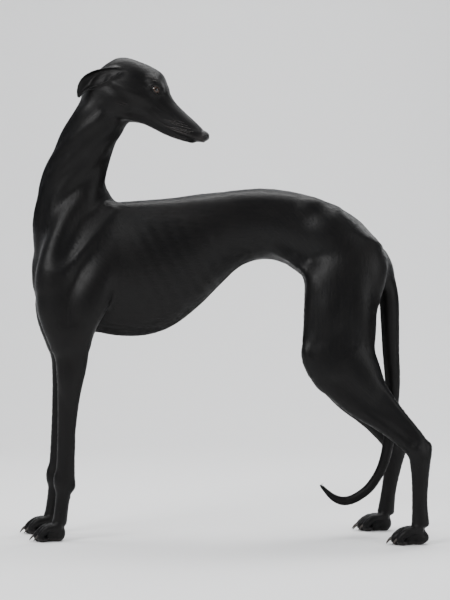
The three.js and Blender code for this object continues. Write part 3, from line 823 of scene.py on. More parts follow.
def surface_net(field, x, y, z):
    """A closed skin where the field is zero: a point in each cell that it crosses, at the middle of the cell's
    crossed edges, and a four-sided face round each crossed edge of the lattice."""
    inside = field < 0
    cells = np.zeros(tuple(n - 1 for n in field.shape), np.int8)
    for a, b, c in CORNERS:
        cells += inside[a : a + cells.shape[0], b : b + cells.shape[1], c : c + cells.shape[2]]
    i, j, k = np.nonzero((cells > 0) & (cells < 8))
    number = np.full(cells.shape, -1, np.int32)
    number[i, j, k] = np.arange(len(i))
    value = np.stack([field[i + a, j + b, k + c] for a, b, c in CORNERS], 1)
    place = np.stack([np.stack([x[i + a, k + c], y[j + b, k + c], z[k + c]], -1) for a, b, c in CORNERS], 1)
    total, hits = np.zeros((len(i), 3)), np.zeros(len(i))
    for p, q in EDGES:
        crossed = (value[:, p] < 0) != (value[:, q] < 0)
        t = value[crossed, p] / (value[crossed, p] - value[crossed, q])
        total[crossed] += place[crossed, p] + (place[crossed, q] - place[crossed, p]) * t[:, None]
        hits[crossed] += 1
    points = total / hits[:, None]
    faces = []
    for axis in range(3):
        ahead = np.take(inside, range(1, inside.shape[axis]), axis)
        here = np.take(inside, range(inside.shape[axis] - 1), axis)
        e = np.stack(np.nonzero(ahead != here), 1)
        first, second = [a for a in range(3) if a != axis]
        keep = (e[:, first] > 0) & (e[:, second] > 0)
        e = e[keep]
        e = e[(e[:, first] < cells.shape[first]) & (e[:, second] < cells.shape[second])]
        quad = []
        for da, db in ((1, 1), (0, 1), (0, 0), (1, 0)):
            c = e.copy()
            c[:, first] -= da
            c[:, second] -= db
            quad.append(number[c[:, 0], c[:, 1], c[:, 2]])
        quad = np.stack(quad, 1)
        flip = inside[e[:, 0], e[:, 1], e[:, 2]] == (axis == 1)
        quad[flip] = quad[flip, ::-1]
        faces.append(quad)
    return points, np.concatenate(faces)


def summed(index, values, count):
    """The sum of the values that go to each index."""
    return np.stack([np.bincount(index, column, count) for column in values.T], 1)


def smooth(points, faces, rounds, share=0.5, weight=1.0):
    """Moves each point towards the middle of its neighbours."""
    a = np.concatenate([faces[:, [c, (c + 1) % 4]] for c in range(4)])
    a = np.concatenate([a, a[:, ::-1]])
    count = np.bincount(a[:, 0], minlength=len(points))[:, None]
    for _ in range(rounds):
        points = points + share * (summed(a[:, 0], points[a[:, 1]], len(points)) / count - points) * weight
    return points


def normals_of(points, faces):
    """Each point's normal, from the faces round it."""
    across = np.cross(points[faces[:, 2]] - points[faces[:, 0]], points[faces[:, 3]] - points[faces[:, 1]])
    return unit(sum(summed(faces[:, c], across, len(points)) for c in range(4)))


FLANK_FOLD = (173, 587)  # along and up, where the flank, the belly and the thigh meet


def skin_shape():
    """Points and faces of the one skin over all flesh, in millimetres."""
    x, y, z = lattice()
    points, faces = surface_net(lattice_field(x, y, z), x, y, z)
    for _ in range(2):
        points = smooth(points, faces, 2)
        points = points - np.clip(flesh(points), -1.5, 1.5)[:, None] * normals_of(points, faces)
    flank = np.clip(2 - np.hypot(points[:, 0] - FLANK_FOLD[0], points[:, 2] - FLANK_FOLD[1]) / 20, 0, 1)
    points = smooth(points, faces, 12, weight=flank[:, None])
    return smooth(points, faces, 2, 0.4), faces


def line_distance(points, line, sign):
    """Distance to a smooth line through a few places on one side of the head, by its nearest sample."""
    fine = along_rows(on_side(sign, line), 260)
    out = np.full(len(points), 99.0)
    near = inside_box(points, fine.min(0) - 9, fine.max(0) + 9)
    for i in range(0, len(near), 4000):
        part = points[near[i : i + 4000]]
        out[near[i : i + 4000]] = np.linalg.norm(part[:, None] - fine, axis=2).min(1)
    return out


def details(points):
    """How far out the fine relief moves the skin: mouth line, lips, lids' folds, ribs, spine and veins."""
    x, y, z = points.T
    move = np.zeros(len(points))
    local = to_head(points)
    for s in (-1, 1):
        mouth = line_distance(local, MOUTH, s)
        move -= 1.9 * hump(mouth, 1.5)
        move += 0.7 * hump(mouth - 4.2, 2.2) * (mouth < 20)
        share, reach = opening_share(points, s)
        at, axes = eye_frame(s)
        above = ((points - at) @ axes[1]) > 0
        move -= np.where((reach < 26) & above, 0.9 * hump(share - 1.62, 0.13), 0)
        move -= np.where((reach < 26) & ~above, 0.5 * hump(share - 1.75, 0.16), 0)
        move += 0.7 * hump(line_distance(local, FACE_VEIN, s), 1.6)
    flank = ramp(z, 470, 60) * ramp(z, 690, -60) * ramp(np.abs(y), 30, 20)
    flank *= ramp(x, -205, 50) * ramp(x, 30, -60)
    ribs = np.sin((x + 0.42 * (z - 600) + 5 * np.sin(z / 47)) * 2 * np.pi / 29)
    move += 0.42 * flank * ribs
    back = ramp(x, -120, 60) * ramp(x, 190, -50) * hump(y, 14) * (z > 690)
    move += 0.8 * back * np.sin(x * 2 * np.pi / 31)
    return move


def smooth_values(values, edges, rounds):
    """Averages values over each point's neighbours along the edges."""
    a = np.concatenate([edges, edges[:, ::-1]])
    count = np.bincount(a[:, 0], minlength=len(values))[:, None] + 1
    for _ in range(rounds):
        values = (values + summed(a[:, 0], values[a[:, 1]], len(values))) / count
    return values


def guide_lines():
    """For each stretch of the coat, rows of place and rough radius of the body, in the way the hairs lie."""
    trunk, skull = (
        [[x, 0, (top + low) / 2, (top - low) / 2] for x, top, low, *_ in rows] for rows in (TORSO, HEAD[::-1])
    )
    lines = {
        "torso": trunk,
        "neck": [[x, y, z, a] for x, y, z, a, _ in NECK[::-1]],
        "head": [[*from_head([row[:3]])[0], row[3]] for row in skull],
        "tail": TAIL,
    }
    for side, s in SIDES.items():
        lines[f"ear_{side}"] = [[*from_head([(f, s * (c + 4), u)])[0], 12] for f, c, u, _, _ in EAR]
        leg = FORE_LEGS[side]
        (ex, ez), (wx, wz), (fx, fz) = leg["elbow"], leg["wrist"], leg["fetlock"]
        lines[f"foreleg_{side}"] = on_side(s, [
            [-250, 58, 668, 26], [-312, 66, 570, 40], [ex, 68, ez + 40, 36],
            [ex + (wx - ex) * 0.3, 64, ez - 90, 25], [wx, 58, wz, 18], [fx, 58, fz + 6, 15],
            [leg["toe"] + 14, 58, 14, 13],
        ])
        leg = HIND_LEGS[side]
        (px, pz), (kx, kz), (hx, hz), (fx, fz) = leg["hip"], leg["knee"], leg["hock"], leg["fetlock"]
        lines[f"hindleg_{side}"] = on_side(s, [
            [px - 10, 56, pz + 10, 56], [px - 28, 66, 490, 60], [kx + 30, 78, kz - 10, 50],
            [kx + (hx - kx) * 0.55, 90, kz + (hz - kz) * 0.55, 30], [hx, 98, hz, 19], [fx, 104, fz + 4, 15],
            [leg["toe"] + 14, 104, 14, 13],
        ])
    return lines


class Guides:
    """All the coat's lines as samples, each knowing its line, its share of the way and its direction."""

    def __init__(self, spacing=7.0):
        samples = []
        self.names = list(guide_lines())
        for number, rows in enumerate(guide_lines().values()):
            rows = np.array(rows, float)
            run = np.linalg.norm(np.diff(rows[:, :3], axis=0), axis=1).sum()
            fine = along_rows(rows, max(int(run / spacing), 8))
            way = unit(np.gradient(fine[:, :3], axis=0))
            share = np.linspace(0, 1, len(fine))
            samples.append((fine[:, :3], way, fine[:, 3], np.full(len(fine), number), share))
        self.places, self.ways, self.radii, self.number, self.share = map(np.concatenate, zip(*samples))

    def find(self, points):
        """The nearest sample to each point, in shares of the body's radius there."""
        near = np.empty(len(points), int)
        for i in range(0, len(points), 20000):
            q = points[i : i + 20000]
            far = (q * q).sum(1)[:, None] - 2 * q @ self.places.T + (self.places * self.places).sum(1)
            near[i : i + 20000] = (far / self.radii**2).argmin(1)
        return near

    def belongs(self, near, names):
        """Whether each found sample is on one of the named lines."""
        return np.isin(self.number[near], [self.names.index(name) for name in names])

    def lie(self, points):
        """The way that the hairs lie: along the line, and on the trunk's sides slanting down."""
        near = self.find(points)
        way = self.ways[near].copy()
        trunk = self.belongs(near, ["torso"])
        off = points - self.places[near]
        way[trunk, 2] -= 0.45 * np.clip(np.abs(off[trunk, 1]) / 70, 0, 1)
        return unit(way)

    def unwrap(self, points):
        """A place on a flat sheet for points on the body: a cell for each line, its share of the way across the
        cell and the angle round it up the cell."""
        near = self.find(points)
        way = self.ways[near]
        across = unit(np.array([0, 1.0, 0]) - way * way[:, 1:2])
        off = points - self.places[near]
        angle = np.arctan2((off * np.cross(way, across)).sum(1), (off * across).sum(1)) / (2 * np.pi) + 0.5
        column, row = self.number[near] % 4, self.number[near] // 4
        return np.stack([(column + 0.06 + 0.88 * self.share[near]) / 4, (row + 0.06 + 0.88 * angle) / 3], 1)


GUIDES = Guides()


def new_object(name, data):
    """An object of its own in the scene."""
    thing = bpy.data.objects.new(name, data)
    bpy.context.scene.collection.objects.link(thing)
    return thing


def smooth_mesh(name, points, faces, material):
    """A smooth mesh in metres with its material, as an object."""
    mesh = bpy.data.meshes.new(name)
    mesh.from_pydata(points, [], faces)
    mesh.polygons.foreach_set("use_smooth", np.ones(len(mesh.polygons), bool))
    mesh.materials.append(material)
    mesh.update()
    return new_object(name, mesh)


def mesh_object(name, points, faces, material, slot):
    """A piece of its own from points in millimetres in the drawing's frame, riding on the still body."""
    piece = smooth_mesh(name, (points + CENTRE_SHIFT) * 0.001, faces, material)
    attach(piece, "root")
    return piece


def thin_out(piece, most):
    """Merges the flattest faces until a piece has at most this many triangles, and leaves plain triangles."""
    piece.data.calc_loop_triangles()
    thinner = piece.modifiers.new("thinner", "DECIMATE")
    thinner.ratio = most / len(piece.data.loop_triangles)
    thinner.use_collapse_triangulate = True
    done = piece.evaluated_get(bpy.context.evaluated_depsgraph_get())
    old, piece.data = piece.data, bpy.data.meshes.new_from_object(done)
    piece.modifiers.clear()
    bpy.data.meshes.remove(old)
    piece.data.name = piece.name


def part_array(parts, name, width, kind=float):
    """One property of all of a mesh's parts as an array."""
    flat = np.empty(len(parts) * width, kind)
    parts.foreach_get(name, flat)
    return flat.reshape(-1, width)


def piece_points(piece):
    """A piece's points in millimetres in the drawing's frame."""
    return part_array(piece.data.vertices, "co", 3) * 1000 - CENTRE_SHIFT


def piece_edges(piece):
    """A piece's edges as pairs of point numbers."""
    return part_array(piece.data.edges, "vertices", 2, np.int32)


def write_attribute(piece, name, values):
    """Keeps a number or a direction for each point of a piece."""
    kind, field = ("FLOAT_VECTOR", "vector") if values.ndim == 2 else ("FLOAT", "value")
    layer = piece.data.attributes.new(name, kind, "POINT")
    layer.data.foreach_set(field, np.ascontiguousarray(values, np.float32).ravel())


def bare_share(points):
    """Where the skin has no coat: the lids' edges, the lips along the mouth line, the nose and the pads."""
    local = to_head(points)
    bare = ramp(points[:, 2], 8, -3)
    for s in (-1, 1):
        share, reach = opening_share(points, s)
        lids = np.where(reach < 22, ramp(share, 1.25, -0.2), 0)
        bare = np.maximum.reduce([bare, lids, ramp(line_distance(local, MOUTH, s), 3.0, -1.6)])
    nose = ramp(local[:, 0], 216, 6) * (np.abs(local[:, 1]) < 20) * (local[:, 2] > 0) * (points[:, 2] > 700)
    return np.maximum(bare, nose)


SKIN_TRIANGLES = 196000
FLESH_NODES = [
    "torso", "neck", "tail_root", "tail_middle", "tail_tip", "head", "ear_left", "ear_right",
    *[f"foreleg_{side}_{part}" for side in SIDES for part in ("upper", "forearm", "pastern", "paw")],
    *[f"hindleg_{side}_{part}" for side in SIDES for part in ("thigh", "shank", "pastern", "paw")],
]


def make_skin(material):
    """The one skin over all flesh, with the lie of its coat and its bare places kept for its material."""
    points, faces = skin_shape()
    points = points + details(points)[:, None] * normals_of(points, faces)
    skin = mesh_object("skin", points, faces, material, "coat")
    thin_out(skin, SKIN_TRIANGLES)
    points = piece_points(skin)
    write_attribute(skin, "lie", unit(smooth_values(GUIDES.lie(points), piece_edges(skin), LIE_ROUNDS)))
    write_attribute(skin, "bare", bare_share(points))
    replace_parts(skin, *FLESH_NODES)


TUFTS = 74000
TUFT_TILT = 0.25  # how far a tuft's shading leans from the skin's own, so that the coat keeps its sleek gloss
PATCH = 0.003  # side of each tuft's place on the flat sheet
PATCH_PLACES = np.array([[-1, -1], [1, -1], [0, -1], [-1, 0], [1, 0], [0, 0], [0, 1]]) * PATCH / 2
COAT_PIECES = {
    "coat_head": ["head", "ear_left", "ear_right"],
    "coat_neck": ["neck"],
    "coat_torso": ["torso"],
    "coat_forelegs": ["foreleg_left", "foreleg_right"],
    "coat_hindleg_left": ["hindleg_left"],
    "coat_hindleg_right": ["hindleg_right"],
    "coat_tail": ["tail"],
}


def tuft_sizes(points, normals):
    """How densely the tufts stand at points of the skin, and how long and how lifted they are, in millimetres.

    They are longest under the tail, behind the thighs, along the chest's keel and down the neck's front and back,
    and shortest on the face and feet."""
    near = GUIDES.find(points)
    share = GUIDES.share[near]
    x, y, z = points.T
    length, dense, lift = (np.full(len(points), value) for value in (10.0, 0.34, 0.2))

    def on(*names):
        return GUIDES.belongs(near, names)

    head, neck, tail = on("head"), on("neck"), on("tail")
    length[head] = 4.5 + 4.0 * share[head] ** 1.5
    dense[head] = 1.2
    ears = on("ear_left", "ear_right")
    length[ears], dense[ears], lift[ears] = 2.2, 0.8, 0.05
    ridge = np.clip(np.abs(normals[neck, 0]) - 0.55, 0, 0.45) / 0.45
    length[neck] = 10 + 3 * ridge
    dense[neck] = 0.7 + 1.0 * ridge
    lift[neck] += 0.5 * ridge
    forward, side, up = to_head(points).T
    folded = (np.abs(side) > 34) & (np.abs(forward + 26) < 34) & (np.abs(up - 2) < 52)
    length[folded], lift[folded] = 2.4, 0.05
    keel = on("torso") * ramp(-normals[:, 2], 0.5, 0.4) * ramp(x, 60, -60)
    length += 4 * keel
    dense += 1.2 * keel
    lift += 0.8 * keel
    under = np.clip(0.3 - normals[tail, 0] - 0.4 * normals[tail, 2], 0, 1)
    length[tail] = (9 + 5 * under) * np.clip((1.06 - share[tail]) / 0.12, 0.2, 1)
    dense[tail] = 1.4 + 1.2 * under
    lift[tail] = 0.2 + 0.7 * under
    fore, hind = on("foreleg_left", "foreleg_right"), on("hindleg_left", "hindleg_right")
    low = (fore | hind) * ramp(z, 330, -200)
    lift *= 1 - 0.5 * low
    length -= 3.5 * low
    length -= 1.8 * (fore | hind) * ramp(z, 60, -30)
    dense += 0.6 * low
    behind = hind * ramp(normals[:, 0], 0.3, 0.4) * ramp(z, 300, 60)
    length += 5 * behind
    dense += 1.3 * behind
    lift += 0.7 * behind
    elbow = fore * ramp(normals[:, 0], 0.4, 0.4) * (z > 200) * (z < 460)
    length += 3 * elbow
    dense += 0.8 * elbow
    return dense * np.clip(1 - 1.6 * bare_share(points), 0, 1), length, lift


# A tuft's faces: a root of three corners, a middle of three and a tip, all facing outwards
TUFT_FACES = np.array([
    [0, 1, 2], [0, 4, 1], [0, 3, 4], [1, 5, 2], [1, 4, 5], [2, 3, 0], [2, 5, 3],
    [3, 6, 4], [4, 6, 5], [5, 6, 3],
])


def tuft_points(root, normal, way, length, lift, turn):
    """Seven points for each tuft, lying along the coat.

    The root sinks under the skin, the middle swells to a low ridge and the tip tapers out just over the skin.
    Middle and tip are pulled back on to the skin along its normal, so that the tuft bends with the body."""
    way = unit(way - normal * (way * normal).sum(1, keepdims=True))
    across = np.cross(way, normal)
    c, s = np.cos(turn)[:, None], np.sin(turn)[:, None]
    way, across = way * c + across * s, across * c - way * s
    size = length[:, None]
    middle = root + way * size * 0.45
    tip = root + way * size
    middle -= normal * np.clip(flesh(middle), -3, 3)[:, None]
    tip -= normal * np.clip(flesh(tip), -6, 6)[:, None]
    half = (0.3 + 0.035 * length)[:, None]
    low, high = normal * 0.5, normal * 0.22
    start = root - normal * 0.35
    up = lift[:, None] * normal
    return np.stack([
        start - across * half * 0.6 - low,
        start + across * half * 0.6 - low,
        start + high,
        middle - across * half,
        middle + across * half,
        middle + high + up * 0.6,
        tip + up,
    ], 1)


def tuft_piece(name, root, normal, way, length, lift, rng, material):
    """One piece of the coat from all its tufts, with its flat sheet for baking and the lie for its material."""
    turn = rng.normal(0, 0.16, len(root))
    points = tuft_points(root, normal, way, length, lift, turn)
    faces = (TUFT_FACES[None] + 7 * np.arange(len(root))[:, None, None]).reshape(-1, 3)
    piece = mesh_object(name, points.reshape(-1, 3), faces, material, "coat")
    tilt = TUFT_TILT * (points - points.mean(1, keepdims=True)) / length[:, None, None]
    piece.data.normals_split_custom_set_from_vertices(unit(normal[:, None] + tilt).reshape(-1, 3))
    write_attribute(piece, "lie", np.repeat(way, 7, axis=0))
    write_attribute(piece, "bare", np.zeros(7 * len(root)))
    flat = (GUIDES.unwrap(root)[:, None] + PATCH_PLACES).reshape(-1, 2)
    layer = piece.data.uv_layers.new(name="OFBake")
    layer.data.foreach_set("uv", np.ascontiguousarray(flat[faces.ravel()], np.float32).ravel())


def make_tufts(skin, material, length_share):
    """Tufts over the whole skin, drawn by area and by how densely they stand, in a piece for each part."""
    rng = np.random.default_rng(11)
    skin.data.calc_loop_triangles()
    corners = part_array(skin.data.loop_triangles, "vertices", 3, np.int32)
    points = piece_points(skin)
    normals = part_array(skin.data.vertices, "normal", 3)
    a, b, c = (points[corners[:, i]] for i in range(3))
    area = np.linalg.norm(np.cross(b - a, c - a), axis=1) / 2
    dense, length, lift = tuft_sizes(points, normals)
    weight = area * dense[corners].mean(1)
    pick = rng.choice(len(corners), TUFTS, p=weight / weight.sum())
    share = rng.dirichlet((1, 1, 1), TUFTS)

    def at_roots(values):
        """Values of the skin's points, mixed at each tuft's place in its triangle."""
        return (values[corners[pick]] * (share[..., None] if values.ndim == 2 else share)).sum(1)

    root, normal = at_roots(points), unit(at_roots(normals))
    way = unit(at_roots(smooth_values(GUIDES.lie(points), piece_edges(skin), LIE_ROUNDS)))
    length = at_roots(length) * rng.uniform(0.75, 1.2, TUFTS) * length_share
    lift = at_roots(lift) * rng.uniform(0.3, 1.3, TUFTS)
    near = GUIDES.find(root)
    for name, lines in COAT_PIECES.items():
        mine = GUIDES.belongs(near, lines)
        tuft_piece(name, root[mine], normal[mine], way[mine], length[mine], lift[mine], rng, material)


def carried(path, radii, sides=10, flat=1.0, side=(0, 1, 0)):
    """A closed horn or hair: rings of the given radii carried along a path, flattened across, with points at
    both ends. A ring's corner is path + r (cos a across + flat sin a upright)."""
    path, radii = np.asarray(path, float), np.asarray(radii, float)
    along = unit(np.gradient(path, axis=0))
    across = across_of(along, side)
    upright = np.cross(along, across)
    angle = np.linspace(0, 2 * np.pi, sides, endpoint=False)
    c, s = np.cos(angle)[None, :, None], np.sin(angle)[None, :, None]
    ring = c * across[:, None] + flat * s * upright[:, None]
    points = (path[:, None] + radii[:, None, None] * ring).reshape(-1, 3)
    i, j = np.meshgrid(np.arange(len(path) - 1), np.arange(sides), indexing="ij")
    k = (j + 1) % sides
    quads = np.stack([i * sides + j, i * sides + k, (i + 1) * sides + k, (i + 1) * sides + j], -1).reshape(-1, 4)
    j, k = j[0], k[0]
    last = len(points) - sides
    start = np.stack([np.full(sides, len(points)), k, j], 1)
    end = np.stack([np.full(sides, len(points) + 1), last + j, last + k], 1)
    triangles = np.concatenate([quads[:, [0, 1, 2]], quads[:, [0, 2, 3]], start, end])
    return np.concatenate([points, path[:1], path[-1:]]), triangles


def gathered(parts):
    """Several point and face arrays as one."""
    start = np.cumsum([0] + [len(points) for points, _ in parts[:-1]])
    return np.concatenate([p for p, _ in parts]), np.concatenate([f + n for (_, f), n in zip(parts, start)])


EYE_RINGS = 49
EYE_SPOKES = 64


def make_eyes(material):
    """Each eyeball is a sphere whose radius grows a little round the gaze, for the clear bulge over the iris.
    The angle from the gaze is kept for the material's rings."""
    spokes = np.linspace(0, 2 * np.pi, EYE_SPOKES, endpoint=False)
    angle, turn = np.meshgrid(np.linspace(0, np.pi, EYE_RINGS), spokes, indexing="ij")
    radius = EYE_RADIUS - 0.25 + 1.0 * hump(angle, 0.5)
    ball = np.stack([np.sin(angle) * np.cos(turn), np.sin(angle) * np.sin(turn), np.cos(angle)], -1)
    ball = ball * radius[..., None]
    i, j = np.meshgrid(np.arange(EYE_RINGS - 1) * EYE_SPOKES, np.arange(EYE_SPOKES), indexing="ij")
    k = (j + 1) % EYE_SPOKES
    faces = np.stack([i + j, i + EYE_SPOKES + j, i + EYE_SPOKES + k, i + k], -1).reshape(-1, 4)
    triangles = np.concatenate([faces[EYE_SPOKES:, [0, 2, 3]], faces[:-EYE_SPOKES, [0, 1, 2]]])
    for side, sign in SIDES.items():
        at, axes = eye_frame(sign)
        points = at + ball.reshape(-1, 3) @ axes
        points[:EYE_SPOKES], points[-EYE_SPOKES:] = points[0], points[-1]
        turned = triangles if np.linalg.det(axes) > 0 else triangles[:, ::-1]
        piece = mesh_object(f"eyeball_{side}", points, turned, material, "eye")
        write_attribute(piece, "from_gaze", angle.ravel())
        write_attribute(piece, "round_gaze", turn.ravel())
        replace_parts(piece, f"eye_{side}")


def make_lids(material):
    """A rim of bare skin round each eye: a tube along the edge of the lids' opening on a sphere just over the
    eyeball, thicker on the upper lid, with the small dark swelling of the inner corner."""
    parts = []
    angle = np.linspace(0, 2 * np.pi, 73)
    wide, tall = (EYE_RADIUS * np.sin(np.radians(a)) for a in OPENING)
    x, y = (
        size * np.sign(wave) * np.abs(wave) ** (2 / power)
        for size, wave, power in zip((wide, tall), (np.cos(angle), np.sin(angle)), OPENING_POWERS)
    )
    y = y - np.where(x > 0, DROOP * x * x, 0)
    out = np.sqrt(np.maximum((EYE_RADIUS + 0.7) ** 2 - x * x - y * y, 0))
    radii = 1.25 + 0.45 * np.clip(np.sin(angle), 0, 1)
    corner = np.array([wide * 0.86, -1.6, 0.0])
    corner[2] = np.sqrt((EYE_RADIUS + 0.2) ** 2 - corner[0] ** 2 - corner[1] ** 2)
    bead = corner + np.array([[-2.2, 0, 0.2], [-1.2, 0, 0.4], [0, 0, 0.5], [1.2, 0, 0.2]])
    for sign in (-1, 1):
        at, axes = eye_frame(sign)
        parts.append(carried(at + np.stack([x, y, out], 1) @ axes, radii, side=axes[2]))
        parts.append(carried(at + bead @ axes, [0.3, 1.3, 1.5, 0.8], side=axes[2]))
    mesh_object("eyelid_rims", *gathered(parts), material, "nose")


NOSE_AT = (221.5, 0, 18.5)
NOSE_RADII = (12.4, 13.8, 10.4)
NOSE_STEP = 0.62
# Grooves cut into the nose, in the head's frame: forward, side, up, radius
NOSTRIL = [[239, 4.2, 24.5, 2.4], [233, 6, 22.8, 2.7], [229.5, 8.6, 21, 2.5]]
NOSE_SLIT = [[233.5, 10.5, 19.6, 1.0], [230, 13.4, 17.2, 1.1], [225, 15.2, 15, 1.0]]
NOSE_CLEFT = [[236, 0, 22, 0.8], [234.5, 0, 15, 1.0], [230, 0, 8, 1.2], [224, 0, 4, 1.0]]


def nose_distance(local):
    """The nose leather: a blunt swelling with two wings, comma-shaped nostrils, and the cleft between them."""
    q = (local - NOSE_AT) / NOSE_RADII
    share = (np.abs(q[:, 0]) ** 2.3 + np.abs(q[:, 1]) ** 2.5 + np.abs(q[:, 2]) ** 2.3) ** (1 / 2.4)
    out = past_skin(np.linalg.norm(local - NOSE_AT, axis=1), share)
    for s in (-1, 1):
        out = melt(out, bulge((226.5, s * 8.6, 18.5), (6.2, 5.2, 6.6)).distance(local), 3)
    grooves = [(on_side(s, rows), 1.2) for s in (-1, 1) for rows in (NOSTRIL, NOSE_SLIT)]
    for rows, k in [*grooves, (NOSE_CLEFT, 1.0)]:
        out = -melt(-out, limb(rows, spacing=0.8).distance(local), k)
    return out


def make_nose(material):
    """The nose leather, read from its distance on a fine lattice in the head's own frame."""
    x, y, z = (np.arange(low, high, NOSE_STEP) for low, high in ((206, 238), (-18, 18), (4, 33)))
    grid = np.stack(np.meshgrid(x, y, z, indexing="ij"), -1)
    field = nose_distance(grid.reshape(-1, 3)).reshape(grid.shape[:3])
    local, faces = surface_net(field, np.tile(x[:, None], len(z)), np.tile(y[:, None], len(z)), z)
    local = smooth(local, faces, 3)
    if np.linalg.det(AXES) < 0:
        faces = faces[:, ::-1]
    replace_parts(mesh_object("nose_leather", from_head(local), faces, material, "nose"), "nose")


def claw(rows, count, thick, least, **shape):
    """A horn along a smooth path, thinning to its tip."""
    radii = thick * np.linspace(1, 0, count) ** 0.7 + least
    return carried(along_rows(rows, count), radii, **shape)


def make_claws(material):
    """A curved horn on each toe, flattened from side to side, and a small one inside each fore pastern."""
    for name, legs in (("fore", FORE_LEGS), ("hind", HIND_LEGS)):
        for side, leg in legs.items():
            sign, parts = SIDES[side], []
            for spread, share in TOES:
                far, out = toe_reach(leg) * share, spread * 1.06
                steps = [(far - 6.5, 11.5), (far - 1, 13.2), (far + 5, 10), (far + 11, 2.4)]
                rows = [paw_place(leg, sign, ahead, out, up) for ahead, up in steps]
                parts.append(claw(rows, 16, 3.3, 0.25, flat=1.15))
            if name == "fore":
                x, z = leg["wrist"][0] + 5, leg["wrist"][1] - 36
                y = sign * (leg["out"] - 14.5)
                steps = [(3, 0, 5), (0, 1.6, 0), (-2, 2, -5), (-1, 1.4, -9)]
                rows = [[x + back, y - sign * inward, z + up] for back, inward, up in steps]
                parts.append(claw(rows, 12, 2.2, 0.2, sides=8))
            mesh_object(f"claws_{name}_{side}", *gathered(parts), material, "nose")


# Where whiskers grow, in the head's frame: forward and up, and their share of the longest
WHISKERS = [
    *[(f, u, 1.0) for f, u in ((204, 16), (196, 18), (187, 20), (177, 22), (200, 11), (191, 12), (181, 14))],
    *[(f, u, 1.0) for f, u in ((170, 15), (160, 16), (194, 5), (184, 6), (173, 7))],
    (196, -6, 0.5), (186, -9, 0.55), (174, -12, 0.5),
    (88, 69, 0.75), (83, 71, 0.8), (78, 72, 0.7), (58, -4, 0.7), (52, -10, 0.6),
]


def make_whiskers(material, longest):
    """Stiff tapering hairs in rows on the lips, and a few over the eyes, on the cheeks and under the chin."""
    rng = np.random.default_rng(5)
    parts = []
    t = np.linspace(0, 1, 9)[:, None]
    for sign in (-1, 1):
        for forward, up, share in WHISKERS:
            line = from_head([(forward, sign * out, up) for out in np.linspace(4, 60, 113)])
            start = line[np.argmax(flesh(line) > 0)]
            long = longest * share * rng.uniform(0.8, 1.1)
            outward = unit(np.array([rng.uniform(-0.1, 0.25), sign * 1.0, rng.uniform(-0.25, 0.05)])) @ AXES
            backward = unit(np.array([-1, sign * 0.35, -0.25])) @ AXES
            path = start - outward * 1.0 + long * (outward * (t - 0.45 * t * t) + backward * 0.75 * t * t)
            parts.append(carried(path, 0.3 * (1 - t[:, 0]) + 0.06, sides=4, side=AXES[2]))
    mesh_object("whiskers", *gathered(parts), material, "coat")


def add_node(tree, kind, inputs=None, **settings):
    """A node with its settings, and its inputs set to values or linked to sockets."""
    node = tree.nodes.new(kind)
    for name, value in settings.items():
        setattr(node, name, value)
    set_inputs(tree, node, inputs or {})
    return node


def set_inputs(tree, node, inputs):
    """Sets a node's inputs to values or links them to sockets."""
    for key, value in inputs.items():
        if isinstance(value, bpy.types.NodeSocket):
            tree.links.new(value, node.inputs[key])
        else:
            node.inputs[key].default_value = value


def sum_of(tree, operation, *values):
    """A number worked out from numbers or sockets."""
    return add_node(tree, "ShaderNodeMath", dict(enumerate(values)), operation=operation).outputs[0]


def blend(tree, first, second):
    """The sum of two pairs, each multiplied."""
    return sum_of(tree, "ADD", sum_of(tree, "MULTIPLY", *first), sum_of(tree, "MULTIPLY", *second))


def vector_of(tree, operation, output, first, second=None, scale=None):
    """A vector or number worked out from vectors."""
    inputs = {0: first, 1: second, "Scale": scale}
    inputs = {key: value for key, value in inputs.items() if value is not None}
    return add_node(tree, "ShaderNodeVectorMath", inputs, operation=operation).outputs[output]


def noise(tree, place, scale, detail, roughness=0.5):
    """Soft cloudy noise."""
    inputs = {"Vector": place, "Scale": scale, "Detail": detail, "Roughness": roughness}
    return add_node(tree, "ShaderNodeTexNoise", inputs).outputs["Fac"]


def attribute(tree, name, output="Fac"):
    """A value kept on the piece's points."""
    return add_node(tree, "ShaderNodeAttribute", attribute_name=name).outputs[output]


def bump(tree, height, strength, distance):
    """A fine relief from a height."""
    inputs = {"Height": height, "Strength": strength, "Distance": distance}
    return add_node(tree, "ShaderNodeBump", inputs).outputs["Normal"]


def colour_mix(tree, share, first, second):
    """A colour between two, which are sockets or three numbers each."""
    first, second = (c if isinstance(c, bpy.types.NodeSocket) else (*c, 1) for c in (first, second))
    return add_node(tree, "ShaderNodeMix", {0: share, 6: first, 7: second}, data_type="RGBA").outputs[2]


def ranged(tree, value, low, high, new_low=0.0, new_high=1.0):
    """A number carried from one range to another and kept inside it."""
    inputs = {"Value": value, "From Min": low, "From Max": high, "To Min": new_low, "To Max": new_high}
    return add_node(tree, "ShaderNodeMapRange", inputs).outputs[0]


def height_group(name, inputs):
    """A node group that gives out one height, with its inputs' sockets and the socket for its result."""
    group = bpy.data.node_groups.new(name, "ShaderNodeTree")
    for key, kind in inputs.items():
        group.interface.new_socket(name=key, in_out="INPUT", socket_type=kind)
    group.interface.new_socket(name="Height", in_out="OUTPUT", socket_type="NodeSocketFloat")
    return group, group.nodes.new("NodeGroupInput").outputs, group.nodes.new("NodeGroupOutput").inputs["Height"]


def group_height(tree, name, **inputs):
    """The height that a node group gives in a material."""
    return add_node(tree, "ShaderNodeGroup", inputs, node_tree=bpy.data.node_groups[name]).outputs["Height"]


# Directions across which the streaks are blended to follow any lie of the hairs
STREAK_WAYS = [(1, 0, 0), (0.707, 0, 0.707), (0, 0, 1), (-0.707, 0, 0.707), (0.3, 0.9, 0.3)]


